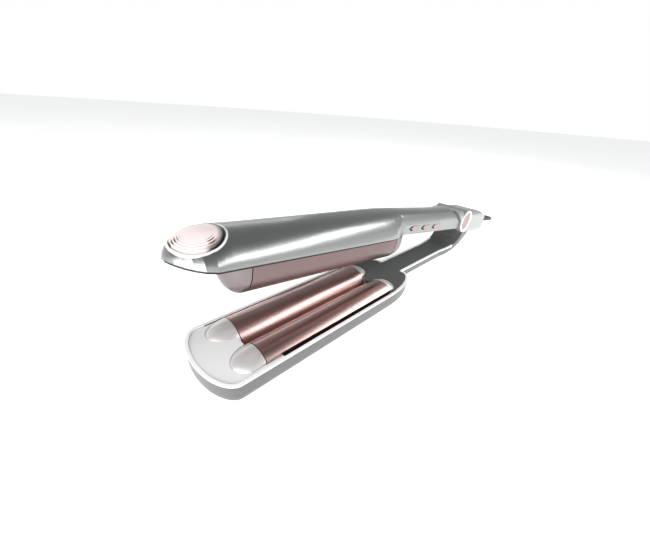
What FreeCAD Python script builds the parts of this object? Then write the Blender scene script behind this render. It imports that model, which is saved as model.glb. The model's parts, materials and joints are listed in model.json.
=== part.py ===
import FreeCAD, Part
import math
import os

# Hair waver with two jaws: one barrel above, two barrels below, joined by a sprung hinge at the tail.
# Millimetres. +X runs from the nose to the tail, +Y is the far side, +Z is up.
# Every piece is built about the hinge axis with the jaws closed; the upper arm is then
# turned open, and all is shifted so that the origin lies under the middle of the object.

V = FreeCAD.Vector

# Overall
OPEN_ANGLE = 7.76          # degrees that the upper arm stands open at rest
HINGE_HEIGHT = 37.5        # hinge axis above the surface that the tray rests on
NOSE_REACH = 263.5         # hinge axis to the tip of the upper jaw
TAIL_REACH = 60.0          # hinge axis to the end of the tail block
RUN_GAP = 0.3              # between a piece and the opening that it sits in
SEAT_GAP = 0.05            # between a plate and the wall round it
WALL = 1.8                 # moulded walls

# Barrels
BARREL_R = 13.0
BARREL_WALL = 1.6
BARREL_PITCH = 27.1        # between the two lower barrels
LOWER_AXIS_Z = -34.0
JAW_GAP = 0.6              # between the barrels when the jaws are shut
FRONT_SEAM_X = 32.0 - NOSE_REACH
LOWER_REAR_SEAM_X = -127.0
UPPER_REAR_SEAM_X = -116.0
LOWER_LEG = 0.3            # straight legs below the lower barrels' axis
UPPER_LEG = 9.5           # straight legs above the upper barrel's axis
WEB_LOW = 6.0              # inner web, above the axis
WEB_T = 2.0
LOWER_FRONT_CAP = 19.0
LOWER_REAR_CAP = 14.0
UPPER_FRONT_CAP = 9.6
UPPER_REAR_CAP = 18.5
SEAM_GAP = 0.5
CAP_TONGUE = 6.0           # how far a cap's tongue reaches into its barrel
TONGUE_GAP = 0.1

# Heaters
HEATER_W = 12.0
HEATER_T = 3.0
HEATER_MARGIN = 10.2       # from the end of the lower heater to the barrel's end
PAD_L = 14.0
FUSE_R = 1.4
FUSE_L = 11.0

# Lower tray
RIM_Z = -25.0
TRAY_HALF_W = 26.0
TRAY_NOSE_X = 16.5 - NOSE_REACH    # where the straight sides end and the nose begins
TRAY_NOSE_L = 12.5
TRAY_REAR_X = -129.0
TRAY_REAR_L = 36.0
TRAY_ROUND = 5.0
FOOT_ROOM = 1.4
ROUND_STEPS = 4
LIP_W = 2.2                # between the lower barrels and the tray's wall
TRAY_LIP = 1.2             # how far the front deck lies under the rim
DECK_T = 2.0
FRONT_DECK_END_X = FRONT_SEAM_X + 9.5
CROWN_R = 400.0
CROWN_RISE = 0.9
CARRIER_MARGIN = 6.5       # barrel carrier, inside the tray's side
CARRIER_T = 2.5
SCREW_R = 1.2
SCREW_HEAD_R = 2.3
SCREW_HEAD_T = 1.0
SCREW_L = 2.9
SCREW_Y = 3.5
LEAD_R = 0.9

# Neck
NECK_HALF_W = 10.35
NECK_TOP_Z = -24.4
NECK_LOW_Z = -30.4
CHEEK_HALF_W = 13.5
NECK_WALL = 1.4

# Upper arm: the nose rounds off both in plan and in side view, as parts of superellipses
JAW_EDGE_Z = -3.5
JAW_HALF_W = 19.5
JAW_NOSE_L = 13.3          # over which the plan rounds off
JAW_NOSE_POWER = 1.52
TOP_NOSE_L = 20.0          # over which the top line comes down
TOP_NOSE_POWER = 1.6
NOSE_STATIONS = (0.3, 0.9, 2.0, 4.0, 6.5, 9.5, 13.3, 16.5, 20.0)
JAW_TOP_FRONT = (32.0, 8.25)       # from the tip, and the top line's height
JAW_TOP_REAR = (137.0, 11.3)       # from the hinge, and the top line's height
SHOULDER = ((131.0, 0.97, 11.4), (126.0, 0.87, 11.5), (121.5, 0.66, 11.5), (117.0, 0.42, 11.5),
            (113.5, 0.18, 11.5))
HANDLE_EDGE_Z = -0.5
HANDLE_HALF_W = 13.3
HANDLE_TOPS = ((111.0, 11.5), (85.0, 10.9), (50.0, 10.2), (0.0, 10.2))
SECTION_STEPS = 12
JAW_POWERS = (2.5, 1.6)            # of the section, across and up
HANDLE_POWERS = (3.0, 2.3)
UPPER_FLOOR_T = 1.8
UPPER_FLOOR_RISE = 0.8     # how far the jaw's floor lies above its edge
POST_R = 3.0

# Handle
SHOULDER_X = -111.0
HANDLE_END_TOP_X = -21.0
HANDLE_END_LOW_X = -13.5
HANDLE_END_R = 12.2        # the handle's lower rear end, about the hinge
SPLIT_FRONT_Z = 3.6
SPLIT_REAR_Z = 1.0
PANEL_FRONT_Z = -4.6
PANEL_REAR_Z = -7.8
PANEL_ROUND = 3.0
BOARD_Z = 3.0
BOARD_T = 1.6
BOARD_HALF_W = 9.4
BOARD_POST_R = 1.3
BOARD_POST_Y = 7.6
BOARD_FRONT_X = -106.0
BOARD_REAR_X = -48.0

# Buttons on the handle's near side
BUTTON_X = (-95.0, -77.0, -58.5)
BUTTON_L = 11.0
BUTTON_H = 3.4
BUTTON_DROP = 3.1          # button's middle, below the split line
BUTTON_PROUD = 0.3
BUTTON_GAP = 0.2
BUTTON_TRAVEL = 0.6
FLANGE = 0.6
FLANGE_T = 0.9
SWITCH_W = 6.0
SWITCH_D = 3.4

# Oval panel on the nose
OVAL_X = 13.3 - NOSE_REACH
OVAL_A = 9.8               # half length along X
OVAL_B = 13.3              # half width along Y
OVAL_DEPTH = 1.2
OVAL_TRIM_W = 0.9
OVAL_GAP = 0.4

# Tail block and hinge
BLOCK_HALF_W = 15.0
BLOCK_TOP_Z = 9.4
BLOCK_LOW_Z = -13.8
BLOCK_BEND_X = 26.0        # behind this the block rounds off
BLOCK_END_L = 12.0
BLOCK_ROUND = 5.5
BLOCK_WALL = 2.2
BLOCK_GAP = 1.0            # running gap behind the handle
HUB_R = 10.4
HUB_PLANE_Y = 15.7
DISC_R = 8.0
DISC_T = 1.0
DISC_SHIFT = 0.8           # the disc sits off the ring's centre, so the ring is a crescent
PIN_R = 2.5
PIN_CLEAR = 0.05
SLOT_HALF_W = 10.4
KNUCKLE_R = 6.4
KNUCKLE_NEAR_Y = -9.9
KNUCKLE_FAR_Y = 2.4
KNUCKLE_BAR = 7.0
FRAME_FRONT_X = -100.0
FRAME_T = 2.0
FRAME_HALF_W = 5.8
SPRING_WIRE_R = 0.6
SPRING_R = 4.3
SPRING_TURNS = 4
SPRING_PITCH = 1.5
SPRING_LEG = 5.0

# Cord, strain relief and plug
CORD_D = 5.0
RELIEF_START = (55.0, -4.35)
RELIEF_END = (104.0, -6.9)
RELIEF_R0 = 3.4
RELIEF_R1 = 2.9
RELIEF_ROOT = 8.0
CORD_FIRST_RUN = 19.0
CORD_POINTS = (             # each with its height above the floor
    (140.6, 2.8, 8.2), (152.7, 12.2, 5.0), (158.7, 27.0, 3.1),
    (156.5, 42.8, 2.5), (146.6, 55.4, 2.5), (131.8, 61.4, 2.5), (107.8, 59.7, 2.5),
    (71.0, 60.5, 2.5), (20.0, 66.0, 2.7),
)
CORD_LEAD_IN = 25.0
COIL_X = -66.0
COIL_Y = 56.0
COIL_R = 18.2              # at the middle of the turns
COIL_TURNS = 3             # in each layer
COIL_LAYERS = 4
COIL_ALL = 12.125          # turns in all
COIL_PITCH = 5.5
LAYER_GAP = 0.6
TAIL_L = 42.0              # cord between the coil and the plug
TAIL_TURN = -47.0          # degrees that it turns away from the coil
COIL_START = 90.0
TIE_T = 0.9
TIE_W = 7.0
TIE_GAP = 0.3
PLUG_L = 30.0
PLUG_HALF_H = 7.0
PLUG_W = 22.0
PLUG_NECK_L = 14.0
PLUG_PIN_R = 2.0
PLUG_PIN_L = 19.0
PLUG_PIN_PITCH = 18.6

# Worked out from the sizes above
OPEN = math.radians(OPEN_ANGLE)
PIVOT_X = ((NOSE_REACH - TAIL_REACH) * math.cos(OPEN) - JAW_EDGE_Z * math.sin(OPEN)) / 2
HALF_PITCH = BARREL_PITCH / 2
UPPER_AXIS_Z = LOWER_AXIS_Z + math.sqrt((2 * BARREL_R + JAW_GAP) ** 2 - HALF_PITCH ** 2)
FLOOR_Z = -HINGE_HEIGHT
TRAY_LOW_Z = FLOOR_Z
TRAY_FLOOR_Z = TRAY_LOW_Z + WALL
LEG_LOW_Z = LOWER_AXIS_Z - LOWER_LEG
SIDE_Y = TRAY_HALF_W - WALL - LIP_W    # outer flank of the lower barrels
LOWER_FLANK = SIDE_Y - HALF_PITCH
LOWER_MID_X = (FRONT_SEAM_X + LOWER_REAR_SEAM_X) / 2
UPPER_MID_X = (FRONT_SEAM_X + UPPER_REAR_SEAM_X) / 2
HEATER_L = LOWER_REAR_SEAM_X - FRONT_SEAM_X - 2 * HEATER_MARGIN
RING_SEAT_R = DISC_R + DISC_SHIFT + 0.6
PIN_END_Y = BLOCK_HALF_W - DISC_T


def box(x0, x1, y0, y1, z0, z1):
    return Part.makeBox(x1 - x0, y1 - y0, z1 - z0, V(x0, y0, z0))


def rod_x(radius, x0, x1, y, z):
    return Part.makeCylinder(radius, x1 - x0, V(x0, y, z), V(1, 0, 0))


def rod_y(radius, y0, y1, x=0.0, z=0.0):
    return Part.makeCylinder(radius, y1 - y0, V(x, y0, z), V(0, 1, 0))


def rod_z(radius, z0, z1, x, y):
    return Part.makeCylinder(radius, z1 - z0, V(x, y, z0), V(0, 0, 1))


def cut(shape, *tools):
    for tool in tools:
        shape = shape.cut(tool)
    return shape


def join(*shapes):
    return shapes[0].multiFuse(list(shapes[1:])).removeSplitter()


def slab_y(points, half_w, y_mid=0.0):
    """Side outline of (x, z) corners, drawn out across the arm."""
    wire = Part.makePolygon([V(x, y_mid - half_w, z) for x, z in points + points[:1]])
    return Part.Face(wire).extrude(V(0, 2 * half_w, 0))


def oval_points(x0, length, half_w, power, count):
    """Half of a rounded end: from the side at x0, y = half_w, to the tip."""
    points = []
    for step in range(count + 1):
        turn = math.pi / 2 * step / count
        reach = length * math.sin(turn) ** (2 / power)
        side = half_w * math.cos(turn) ** (2 / power)
        points.append((x0 - reach, side))
    return points


def end_curve(x0, length, half_w, power, z):
    """Smooth rounded end across the arm, its ends running along X."""
    half = oval_points(x0, length, half_w, power, 5)
    points = [V(x, y, z) for x, y in half] + [V(x, -y, z) for x, y in reversed(half[:-1])]
    curve = Part.BSplineCurve()
    curve.interpolate(Points=points, InitialTangent=V(-1, 0, 0), FinalTangent=V(1, 0, 0))
    return curve.toShape()


def column(wire, z0, z1):
    face = Part.Face(wire)
    return face.extrude(V(0, 0, z1 - z0))


def ellipse_x(x, y, length, half_w, z):
    """Ellipse in plan: length is half its size along X."""
    if length >= half_w:
        curve = Part.Ellipse(V(x, y, z), length, half_w)
    else:
        curve = Part.Ellipse(V(x, y + half_w, z), V(x + length, y, z), V(x, y, z))
    return Part.Wire([curve.toShape()])


def lower(shape):
    """Places a piece of the lower arm."""
    moved = shape.copy()
    moved.translate(V(PIVOT_X, 0, HINGE_HEIGHT))
    return moved


def upper(shape):
    """Turns a piece of the upper arm open about the hinge and places it."""
    moved = shape.copy()
    moved.rotate(V(0, 0, 0), V(0, 1, 0), OPEN_ANGLE)
    moved.translate(V(PIVOT_X, 0, HINGE_HEIGHT))
    return moved


# Barrels and their caps, in a frame of their own: the axis along X, the crown up

def arch_face(radius, flank, leg, x):
    """Crown arc over straight legs: the inner leg at -radius, the outer one at flank."""
    rise = math.sqrt(max(radius ** 2 - flank ** 2, 0.0))
    arc = Part.Arc(V(x, -radius, 0), V(x, 0, radius), V(x, flank, rise)).toShape()
    legs = [
        Part.makeLine(V(x, flank, rise), V(x, flank, -leg)),
        Part.makeLine(V(x, flank, -leg), V(x, -radius, -leg)),
        Part.makeLine(V(x, -radius, -leg), V(x, -radius, 0)),
    ]
    return Part.Face(Part.Wire([arc] + legs))


def barrel(x0, x1, flank, leg):
    """Extruded barrel: an arch with a web inside that the heater lies against."""
    run = V(x1 - x0, 0, 0)
    outer = arch_face(BARREL_R, flank, leg, x0).extrude(run)
    inner = arch_face(BARREL_R - BARREL_WALL, flank - BARREL_WALL, leg + 1, x0).extrude(run)
    tube = outer.cut(inner)
    web = box(x0, x1, -BARREL_R, flank, WEB_LOW, WEB_LOW + WEB_T).common(outer)
    return join(tube, web)


def half_ball(x, radius, length, sign, turn=360):
    """Rounded end on the axis, from the plane at x to a tip length away."""
    centre = V(x, 0, 0)
    if length > radius:
        curve = Part.Ellipse(V(x + length, 0, 0), V(x, radius, 0), centre)
    else:
        curve = Part.Ellipse(V(x, radius, 0), V(x - length, 0, 0), centre)
    side, tip = V(x, radius, 0), V(x + length, 0, 0)
    first, last = sorted((curve.parameter(side), curve.parameter(tip)))
    if last - first > math.pi:
        first, last = last, first + 2 * math.pi
    arc = curve.toBSpline(first, last).toShape()
    edges = [arc, Part.makeLine(tip, centre), Part.makeLine(centre, side)]
    face = Part.Face(Part.Wire(Part.__sortEdges__(edges)))
    dome = face.revolve(centre, V(1, 0, 0), turn)
    return dome if sign > 0 else dome.mirror(centre, V(1, 0, 0))


def cap(seam_x, length, sign, flank, leg):
    """Rounded end of a barrel, with a tongue that fits inside the arch over the web."""
    seat_x = seam_x + sign * SEAM_GAP
    reach = length - SEAM_GAP
    dome = half_ball(seat_x, BARREL_R, reach, sign, 180)
    skirt = column(ellipse_x(seat_x, 0, reach, BARREL_R, -leg), -leg, 0)
    x0, x1 = sorted((seat_x, seat_x + sign * length))
    foot = box(x0, x1, -BARREL_R - 1, BARREL_R + 1, -leg, 0)
    beside = box(x0 - 1, x1 + 1, flank, BARREL_R + 1, -leg - 1, BARREL_R)
    shell = join(dome, skirt.common(foot)).cut(beside)
    fit = BARREL_R - BARREL_WALL - TONGUE_GAP
    t0, t1 = sorted((seam_x - sign * CAP_TONGUE, seat_x + sign))
    tongue = arch_face(fit, min(flank - BARREL_WALL - TONGUE_GAP, fit), 1, t0).extrude(V(t1 - t0, 0, 0))
    over_web = box(t0, t1, -BARREL_R, BARREL_R, WEB_LOW + WEB_T + TONGUE_GAP, BARREL_R)
    return join(shell, tongue.common(over_web))


def flip_y(shape):
    return shape.mirror(V(0, 0, 0), V(0, 1, 0))


def seat_lower(shape, side):
    """Sets a piece drawn about a barrel's axis onto a lower barrel; side is -1 near, +1 far."""
    placed = shape if side > 0 else flip_y(shape)
    placed = placed.copy()
    placed.translate(V(0, side * HALF_PITCH, LOWER_AXIS_Z))
    return placed


def seat_upper(shape):
    """Sets a piece drawn about a barrel's axis onto the upper barrel, crown down."""
    placed = shape.copy()
    placed.rotate(V(0, 0, 0), V(1, 0, 0), 180)
    placed.translate(V(0, 0, UPPER_AXIS_Z))
    return placed


def heater(mid_x):
    """Flat ceramic heater against the web."""
    return box(mid_x - HEATER_L / 2, mid_x + HEATER_L / 2, -HEATER_W / 2, HEATER_W / 2,
               WEB_LOW - HEATER_T, WEB_LOW)


def heater_pads(mid_x, low_z):
    """Two insulating blocks that hold the heater up against the web."""
    pads = []
    for side in (-1, 1):
        x = mid_x + side * HEATER_L / 3
        pads.append(box(x - PAD_L / 2, x + PAD_L / 2, -HEATER_W / 2, HEATER_W / 2,
                        low_z, WEB_LOW - HEATER_T))
    return Part.makeCompound(pads)


def thermal_fuse(mid_x):
    """Small round fuse held against the heater's back."""
    return rod_x(FUSE_R, mid_x - FUSE_L / 2, mid_x + FUSE_L / 2, 0, WEB_LOW - HEATER_T - FUSE_R)


# Lower arm

def nose_curve(x0, length, half_w, z):
    """Half ellipse across the tray's front end."""
    curve = Part.Ellipse(V(x0, half_w, z), V(x0 + length, 0, z), V(x0, 0, z))
    return Part.ArcOfEllipse(curve, math.pi, 2 * math.pi).toShape()


def corner_curve(x0, y0, length, width, side, z):
    """Quarter ellipse from the tray's side to its rear end."""
    curve = Part.Ellipse(V(x0 + length, y0, z), V(x0, y0 + width, z), V(x0, y0, z))
    first = 0 if side > 0 else 1.5 * math.pi
    return Part.ArcOfEllipse(curve, first, first + math.pi / 2).toShape()


def tray_wire(inset, z):
    """Plan of the tray at one height, drawn in by inset."""
    half_w = TRAY_HALF_W - inset
    rear_l = TRAY_REAR_L - inset
    end_x = TRAY_REAR_X + rear_l
    width = half_w - NECK_HALF_W
    return Part.Wire([
        nose_curve(TRAY_NOSE_X, TRAY_NOSE_L - inset, half_w, z),
        Part.makeLine(V(TRAY_NOSE_X, -half_w, z), V(TRAY_REAR_X, -half_w, z)),
        corner_curve(TRAY_REAR_X, -NECK_HALF_W, rear_l, width, -1, z),
        Part.makeLine(V(end_x, -NECK_HALF_W, z), V(end_x, NECK_HALF_W, z)),
        corner_curve(TRAY_REAR_X, NECK_HALF_W, rear_l, width, 1, z),
        Part.makeLine(V(TRAY_REAR_X, half_w, z), V(TRAY_NOSE_X, half_w, z)),
    ])


def tray_solid(inset, z0, z1):
    return column(tray_wire(inset, z0), z0, z1)


def bowl():
    """Tray form with a rounded foot: plans drawn in step by step towards the floor."""
    wires = []
    for step in range(ROUND_STEPS + 1):
        turn = math.pi / 2 * (1 - step / ROUND_STEPS)
        draw_in = TRAY_ROUND * (1 - math.cos(turn))
        wires.append(tray_wire(draw_in, TRAY_LOW_Z + TRAY_ROUND * (1 - math.sin(turn))))
    wires.append(tray_wire(0, RIM_Z))
    return Part.makeLoft(wires, True, True)


def tray_rooms():
    """Hollow of the tray: the main room, and a smaller one inside the rounded foot."""
    bend_z = LEG_LOW_Z - RUN_GAP
    return tray_solid(WALL, bend_z, RIM_Z + 1), tray_solid(WALL + FOOT_ROOM, TRAY_FLOOR_Z, bend_z)


NECK_SIDE = [
    (-100.0, NECK_TOP_Z), (-18.0, NECK_TOP_Z - 0.3), (-10.0, NECK_TOP_Z + 0.2), (-3.7, -22.4),
    (1.6, -18.8), (4.6, -14.4), (5.4, -7.2), (12.0, -7.2), (24.0, -13.0), (17.5, -16.2),
    (5.8, -23.3), (-6.0, -28.6), (-18.0, NECK_LOW_Z - 0.4), (-100.0, NECK_LOW_Z),
]


def neck_plan(inset):
    """Plan of the neck: narrow beside the tray, wider at the cheeks under the tail block."""
    neck = NECK_HALF_W - inset
    cheek = CHEEK_HALF_W - inset
    side = [(-100.0, neck), (-30.0, neck), (4.0, cheek), (26.0, cheek)]
    points = [V(x, y, -45) for x, y in side] + [V(x, -y, -45) for x, y in reversed(side)]
    return Part.Face(Part.makePolygon(points + points[:1])).extrude(V(0, 0, 50))


def screw_places():
    """Four screws through the tray's floor into the barrel carrier."""
    return [(x, y) for x in (FRONT_SEAM_X + 18, LOWER_REAR_SEAM_X - 18) for y in (-SCREW_Y, SCREW_Y)]


def lower_shell(block_outer):
    """Tray and neck in one moulding, open on top."""
    tray = bowl()
    neck = slab_y(NECK_SIDE, CHEEK_HALF_W + 1).common(neck_plan(0))
    channel = [
        (-104.0, NECK_TOP_Z + 1), (-18.0, NECK_TOP_Z + 1), (-6.0, -21.0), (3.0, -5.0), (9.0, -5.0),
        (7.0, -14.0), (2.0, -20.6), (-8.0, -26.4), (-19.0, NECK_LOW_Z + NECK_WALL),
        (-104.0, NECK_LOW_Z + NECK_WALL),
    ]
    trench = slab_y(channel, CHEEK_HALF_W + 1).common(neck_plan(NECK_WALL))
    body = cut(join(tray, neck), *tray_rooms(), trench, block_outer)
    for x, y in screw_places():
        body = cut(body, rod_z(SCREW_R, TRAY_LOW_Z - 1, TRAY_FLOOR_Z + 1, x, y),
                   rod_z(SCREW_HEAD_R, TRAY_LOW_Z - 1, TRAY_LOW_Z + SCREW_HEAD_T, x, y))
    return largest(body)


def largest(shape):
    """The main solid, without slivers that a cut leaves behind."""
    return max(shape.Solids, key=lambda solid: solid.Volume)


def shell_screws():
    screws = []
    for x, y in screw_places():
        head = rod_z(SCREW_HEAD_R, TRAY_LOW_Z + 0.2, TRAY_LOW_Z + SCREW_HEAD_T, x, y)
        shank = rod_z(SCREW_R, TRAY_LOW_Z + SCREW_HEAD_T, TRAY_LOW_Z + SCREW_L, x, y)
        screws.append(join(head, shank))
    return Part.makeCompound(screws)


def lower_carrier():
    """Heat-resistant frame on the tray's floor that the barrels and caps stand on."""
    half_w = TRAY_HALF_W - CARRIER_MARGIN
    plate = box(FRONT_SEAM_X - 10, LOWER_REAR_SEAM_X + 8, -half_w, half_w, TRAY_FLOOR_Z, LEG_LOW_Z)
    sockets = [rod_z(SCREW_R, TRAY_FLOOR_Z - 1, TRAY_LOW_Z + SCREW_L, x, y) for x, y in screw_places()]
    return cut(plate, *sockets)


def barrel_shadow(side):
    """Space that a lower barrel and its caps take, with running room, for the decks to clear."""
    grown = BARREL_R + RUN_GAP
    body = arch_face(grown, LOWER_FLANK + RUN_GAP, LOWER_LEG, FRONT_SEAM_X - 1)
    body = body.extrude(V(LOWER_REAR_SEAM_X - FRONT_SEAM_X + 2, 0, 0))
    beside = box(FRONT_SEAM_X - 30, FRONT_SEAM_X + 1, LOWER_FLANK + RUN_GAP, grown + 1, -grown - 1, grown + 1)
    front = half_ball(FRONT_SEAM_X, grown, LOWER_FRONT_CAP + RUN_GAP, -1).cut(beside)
    rear = half_ball(LOWER_REAR_SEAM_X, grown, LOWER_REAR_CAP + RUN_GAP, 1)
    return [seat_lower(tool, side) for tool in (body, front, rear)]


def front_deck():
    """Bright tongue in the tray's nose, running back a little beside the barrels."""
    low_z = RIM_Z - TRAY_LIP - DECK_T
    plate = tray_solid(WALL + 2 * SEAT_GAP, low_z, RIM_Z + 1)
    crown = rod_x(CROWN_R, -300, 0, 0, RIM_Z - TRAY_LIP + CROWN_RISE - CROWN_R)
    ahead = box(-NOSE_REACH, FRONT_DECK_END_X, -TRAY_HALF_W, TRAY_HALF_W, low_z, 0)
    inner = box(FRONT_SEAM_X - 2, FRONT_DECK_END_X + 1, -HALF_PITCH, HALF_PITCH, low_z - 1, 0)
    return largest(cut(plate.common(crown).common(ahead), *barrel_shadow(-1), *barrel_shadow(1), inner))


def neck_cover():
    """Dark saddle behind the barrels, running up the neck as its cover."""
    top_z = NECK_TOP_Z - 0.3
    saddle = tray_solid(WALL + SEAT_GAP, top_z - DECK_T, top_z)
    saddle = saddle.common(box(LOWER_REAR_SEAM_X + 0.6, -96, -40, 40, -60, 0))
    strip = [
        (-97.0, top_z), (-18.5, top_z - 0.2), (-10.4, top_z + 0.2), (-4.3, -22.7),
        (0.9, -19.2), (3.8, -14.8), (4.6, -8.2), (5.8, -8.2),
        (5.2, -14.6), (2.2, -19.9), (-3.8, -23.7), (-10.4, -25.9), (-18.5, top_z - 1.8),
        (-97.0, top_z - DECK_T),
    ]
    run = slab_y(strip, CHEEK_HALF_W).common(neck_plan(NECK_WALL + SEAT_GAP))
    return largest(cut(join(saddle, run), *barrel_shadow(-1), *barrel_shadow(1)))


def lower_leads():
    """Two insulated wires on the floor of the neck."""
    z = NECK_LOW_Z + NECK_WALL + LEAD_R
    return Part.makeCompound([rod_x(LEAD_R, -94, -22, y, z) for y in (-3.0, 3.0)])


# Tail block, in line with the handle as it stands open

def turned_open(shape):
    moved = shape.copy()
    moved.rotate(V(0, 0, 0), V(0, 1, 0), OPEN_ANGLE)
    return moved


def rounded_bar(x0, x1, half_w, low_z, top_z, radius):
    """Bar along X whose four long edges are rounded."""
    r = radius
    corners = [(half_w, top_z), (half_w, low_z), (-half_w, low_z), (-half_w, top_z)]
    bar = box(x0, x1, -half_w, half_w, low_z, top_z)
    for y, z in corners:
        sy = 1 if y > 0 else -1
        sz = 1 if z == top_z else -1
        strip = box(x0 - 1, x1 + 1, min(y, y - sy * r), max(y, y - sy * r), min(z, z - sz * r), max(z, z - sz * r))
        bar = bar.cut(strip.cut(rod_x(r, x0 - 2, x1 + 2, y - sy * r, z - sz * r)))
    return bar


def block_profile(inset):
    """Side view of the tail block: flat top and foot, rounded off towards the tail."""
    points = [
        V(BLOCK_BEND_X, 0, BLOCK_TOP_Z - inset), V(TAIL_REACH - 12.5 - inset, 0, 4.4 - inset),
        V(TAIL_REACH - inset, 0, -4.6), V(TAIL_REACH - 9.0 - inset, 0, -12.0 + inset),
        V(BLOCK_BEND_X, 0, BLOCK_LOW_Z + inset),
    ]
    curve = Part.BSplineCurve()
    curve.interpolate(Points=points, InitialTangent=V(1, 0, 0), FinalTangent=V(-1, 0, 0))
    front = [
        (BLOCK_BEND_X, BLOCK_LOW_Z + inset), (9.0, -HUB_R - 0.6), (0.0, -HUB_R), (0.0, 1.7),
        (HANDLE_END_LOW_X + BLOCK_GAP, 1.7), (HANDLE_END_TOP_X + BLOCK_GAP, BLOCK_TOP_Z - inset),
        (BLOCK_BEND_X, BLOCK_TOP_Z - inset),
    ]
    lines = [Part.makeLine(V(a[0], 0, a[1]), V(b[0], 0, b[1])) for a, b in zip(front, front[1:])]
    return Part.Face(Part.Wire([curve.toShape()] + lines))


def block_body(inset=0.0):
    """Outer form of the tail block; with an inset, the room inside it."""
    half_w = BLOCK_HALF_W - inset
    side = block_profile(inset)
    side.translate(V(0, -half_w, 0))
    solid = side.extrude(V(0, 2 * half_w, 0))
    end = end_curve_right(TAIL_REACH - BLOCK_END_L, BLOCK_END_L - inset, half_w, 2.4, -30)
    back = [V(TAIL_REACH - BLOCK_END_L, half_w, -30), V(-40, half_w, -30), V(-40, -half_w, -30),
            V(TAIL_REACH - BLOCK_END_L, -half_w, -30)]
    lines = [Part.makeLine(a, b) for a, b in zip(back, back[1:])]
    plan = column(Part.Wire(Part.__sortEdges__([end] + lines)), -30, 30)
    bar = rounded_bar(-40, TAIL_REACH + 1, half_w, BLOCK_LOW_Z + inset, BLOCK_TOP_Z - inset,
                      BLOCK_ROUND - min(inset, 1.5))
    return solid.common(plan).common(bar)


def end_curve_right(x0, length, half_w, power, z):
    half = [(2 * x0 - x, y) for x, y in oval_points(x0, length, half_w, power, 5)]
    points = [V(x, y, z) for x, y in half] + [V(x, -y, z) for x, y in reversed(half[:-1])]
    curve = Part.BSplineCurve()
    curve.interpolate(Points=points, InitialTangent=V(1, 0, 0), FinalTangent=V(-1, 0, 0))
    return curve.toShape()


def block_outer():
    return join(block_body(), rod_y(HUB_R, -BLOCK_HALF_W, BLOCK_HALF_W))


def tail_block():
    """Hollow block behind the hinge: two cheeks, a slot for the knuckle, a cord outlet."""
    room = block_body(BLOCK_WALL).common(box(14, 80, -40, 40, -40, 40))
    slot = box(-40, 15, -SLOT_HALF_W, SLOT_HALF_W, -30, BLOCK_TOP_Z - BLOCK_WALL)
    pin_hole = rod_y(PIN_R, -PIN_END_Y, PIN_END_Y)
    outlet = relief_rod(RELIEF_R0 + 0.1, 40, RELIEF_START[0] + 6)
    body = cut(block_outer(), room, slot, pin_hole, outlet)
    for side in (-1, 1):
        y0, y1 = sorted((side * PIN_END_Y, side * (BLOCK_HALF_W + 5)))
        body = cut(body, rod_y(RING_SEAT_R, y0, y1))
    return largest(turned_open(body))


def hinge_pin():
    """Straight pin between the two cheeks."""
    return rod_y(PIN_R, -PIN_END_Y, PIN_END_Y)


def hinge_ring(side):
    """Crescent ring round the hinge disc, standing a little proud of the cheek."""
    seat = rod_y(RING_SEAT_R, *sorted((side * PIN_END_Y, side * HUB_PLANE_Y)))
    brim = rod_y(HUB_R, *sorted((side * BLOCK_HALF_W, side * HUB_PLANE_Y)))
    hole = rod_y(DISC_R, -HUB_PLANE_Y - 1, HUB_PLANE_Y + 1, -DISC_SHIFT, DISC_SHIFT * 0.6)
    return turned_open(cut(join(seat, brim), hole))


def hinge_disc(side):
    """Rose disc set inside the ring, over the end of the pin."""
    y0, y1 = sorted((side * PIN_END_Y, side * (BLOCK_HALF_W + 0.1)))
    return turned_open(rod_y(DISC_R, y0, y1, -DISC_SHIFT, DISC_SHIFT * 0.6))


def hinge_spring():
    """Torsion spring round the pin that pushes the arms apart."""
    height = SPRING_TURNS * SPRING_PITCH
    helix = Part.makeHelix(SPRING_PITCH, height, SPRING_R)
    start = V(SPRING_R, 0, 0)
    profile = Part.Wire([Part.Circle(start, V(0, 1, 0), SPRING_WIRE_R).toShape()])
    coil = Part.Wire(helix.Edges).makePipeShell([profile], True, True)
    legs = [
        Part.makeCylinder(SPRING_WIRE_R, SPRING_LEG, start, V(0, -1, 0)),
        Part.makeCylinder(SPRING_WIRE_R, SPRING_LEG, V(SPRING_R, 0, height), V(0, 1, 0)),
    ]
    spring = join(coil, *legs)
    spring.rotate(V(0, 0, 0), V(1, 0, 0), -90)
    spring.translate(V(0, KNUCKLE_FAR_Y + SPRING_WIRE_R + 0.3, 0))
    return spring


def relief_line():
    start = V(RELIEF_START[0], 0, RELIEF_START[1])
    run = V(RELIEF_END[0], 0, RELIEF_END[1]) - start
    return start, run


def relief_rod(radius, x0, x1):
    """Straight rod along the cord's outlet."""
    start, run = relief_line()
    run.normalize()
    return Part.makeCylinder(radius, x1 - x0, start + run * (x0 - start.x), run)


def strain_relief():
    """Tapered sleeve over the cord, held by a collar inside the block."""
    start, run = relief_line()
    cone = Part.makeCone(RELIEF_R0, RELIEF_R1, run.Length, start, run)
    root = relief_rod(RELIEF_R0, start.x - RELIEF_ROOT, start.x)
    collar = relief_rod(RELIEF_R0 + 1.4, start.x - RELIEF_ROOT - 3, start.x - RELIEF_ROOT)
    return turned_open(join(cone, root, collar))


# Upper arm

def rounded_share(reach, length, power):
    """How much of its full size the nose has, reach behind the tip."""
    left = max(1 - reach / length, 0.0)
    return (1 - left ** power) ** (1 / power)


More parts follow.
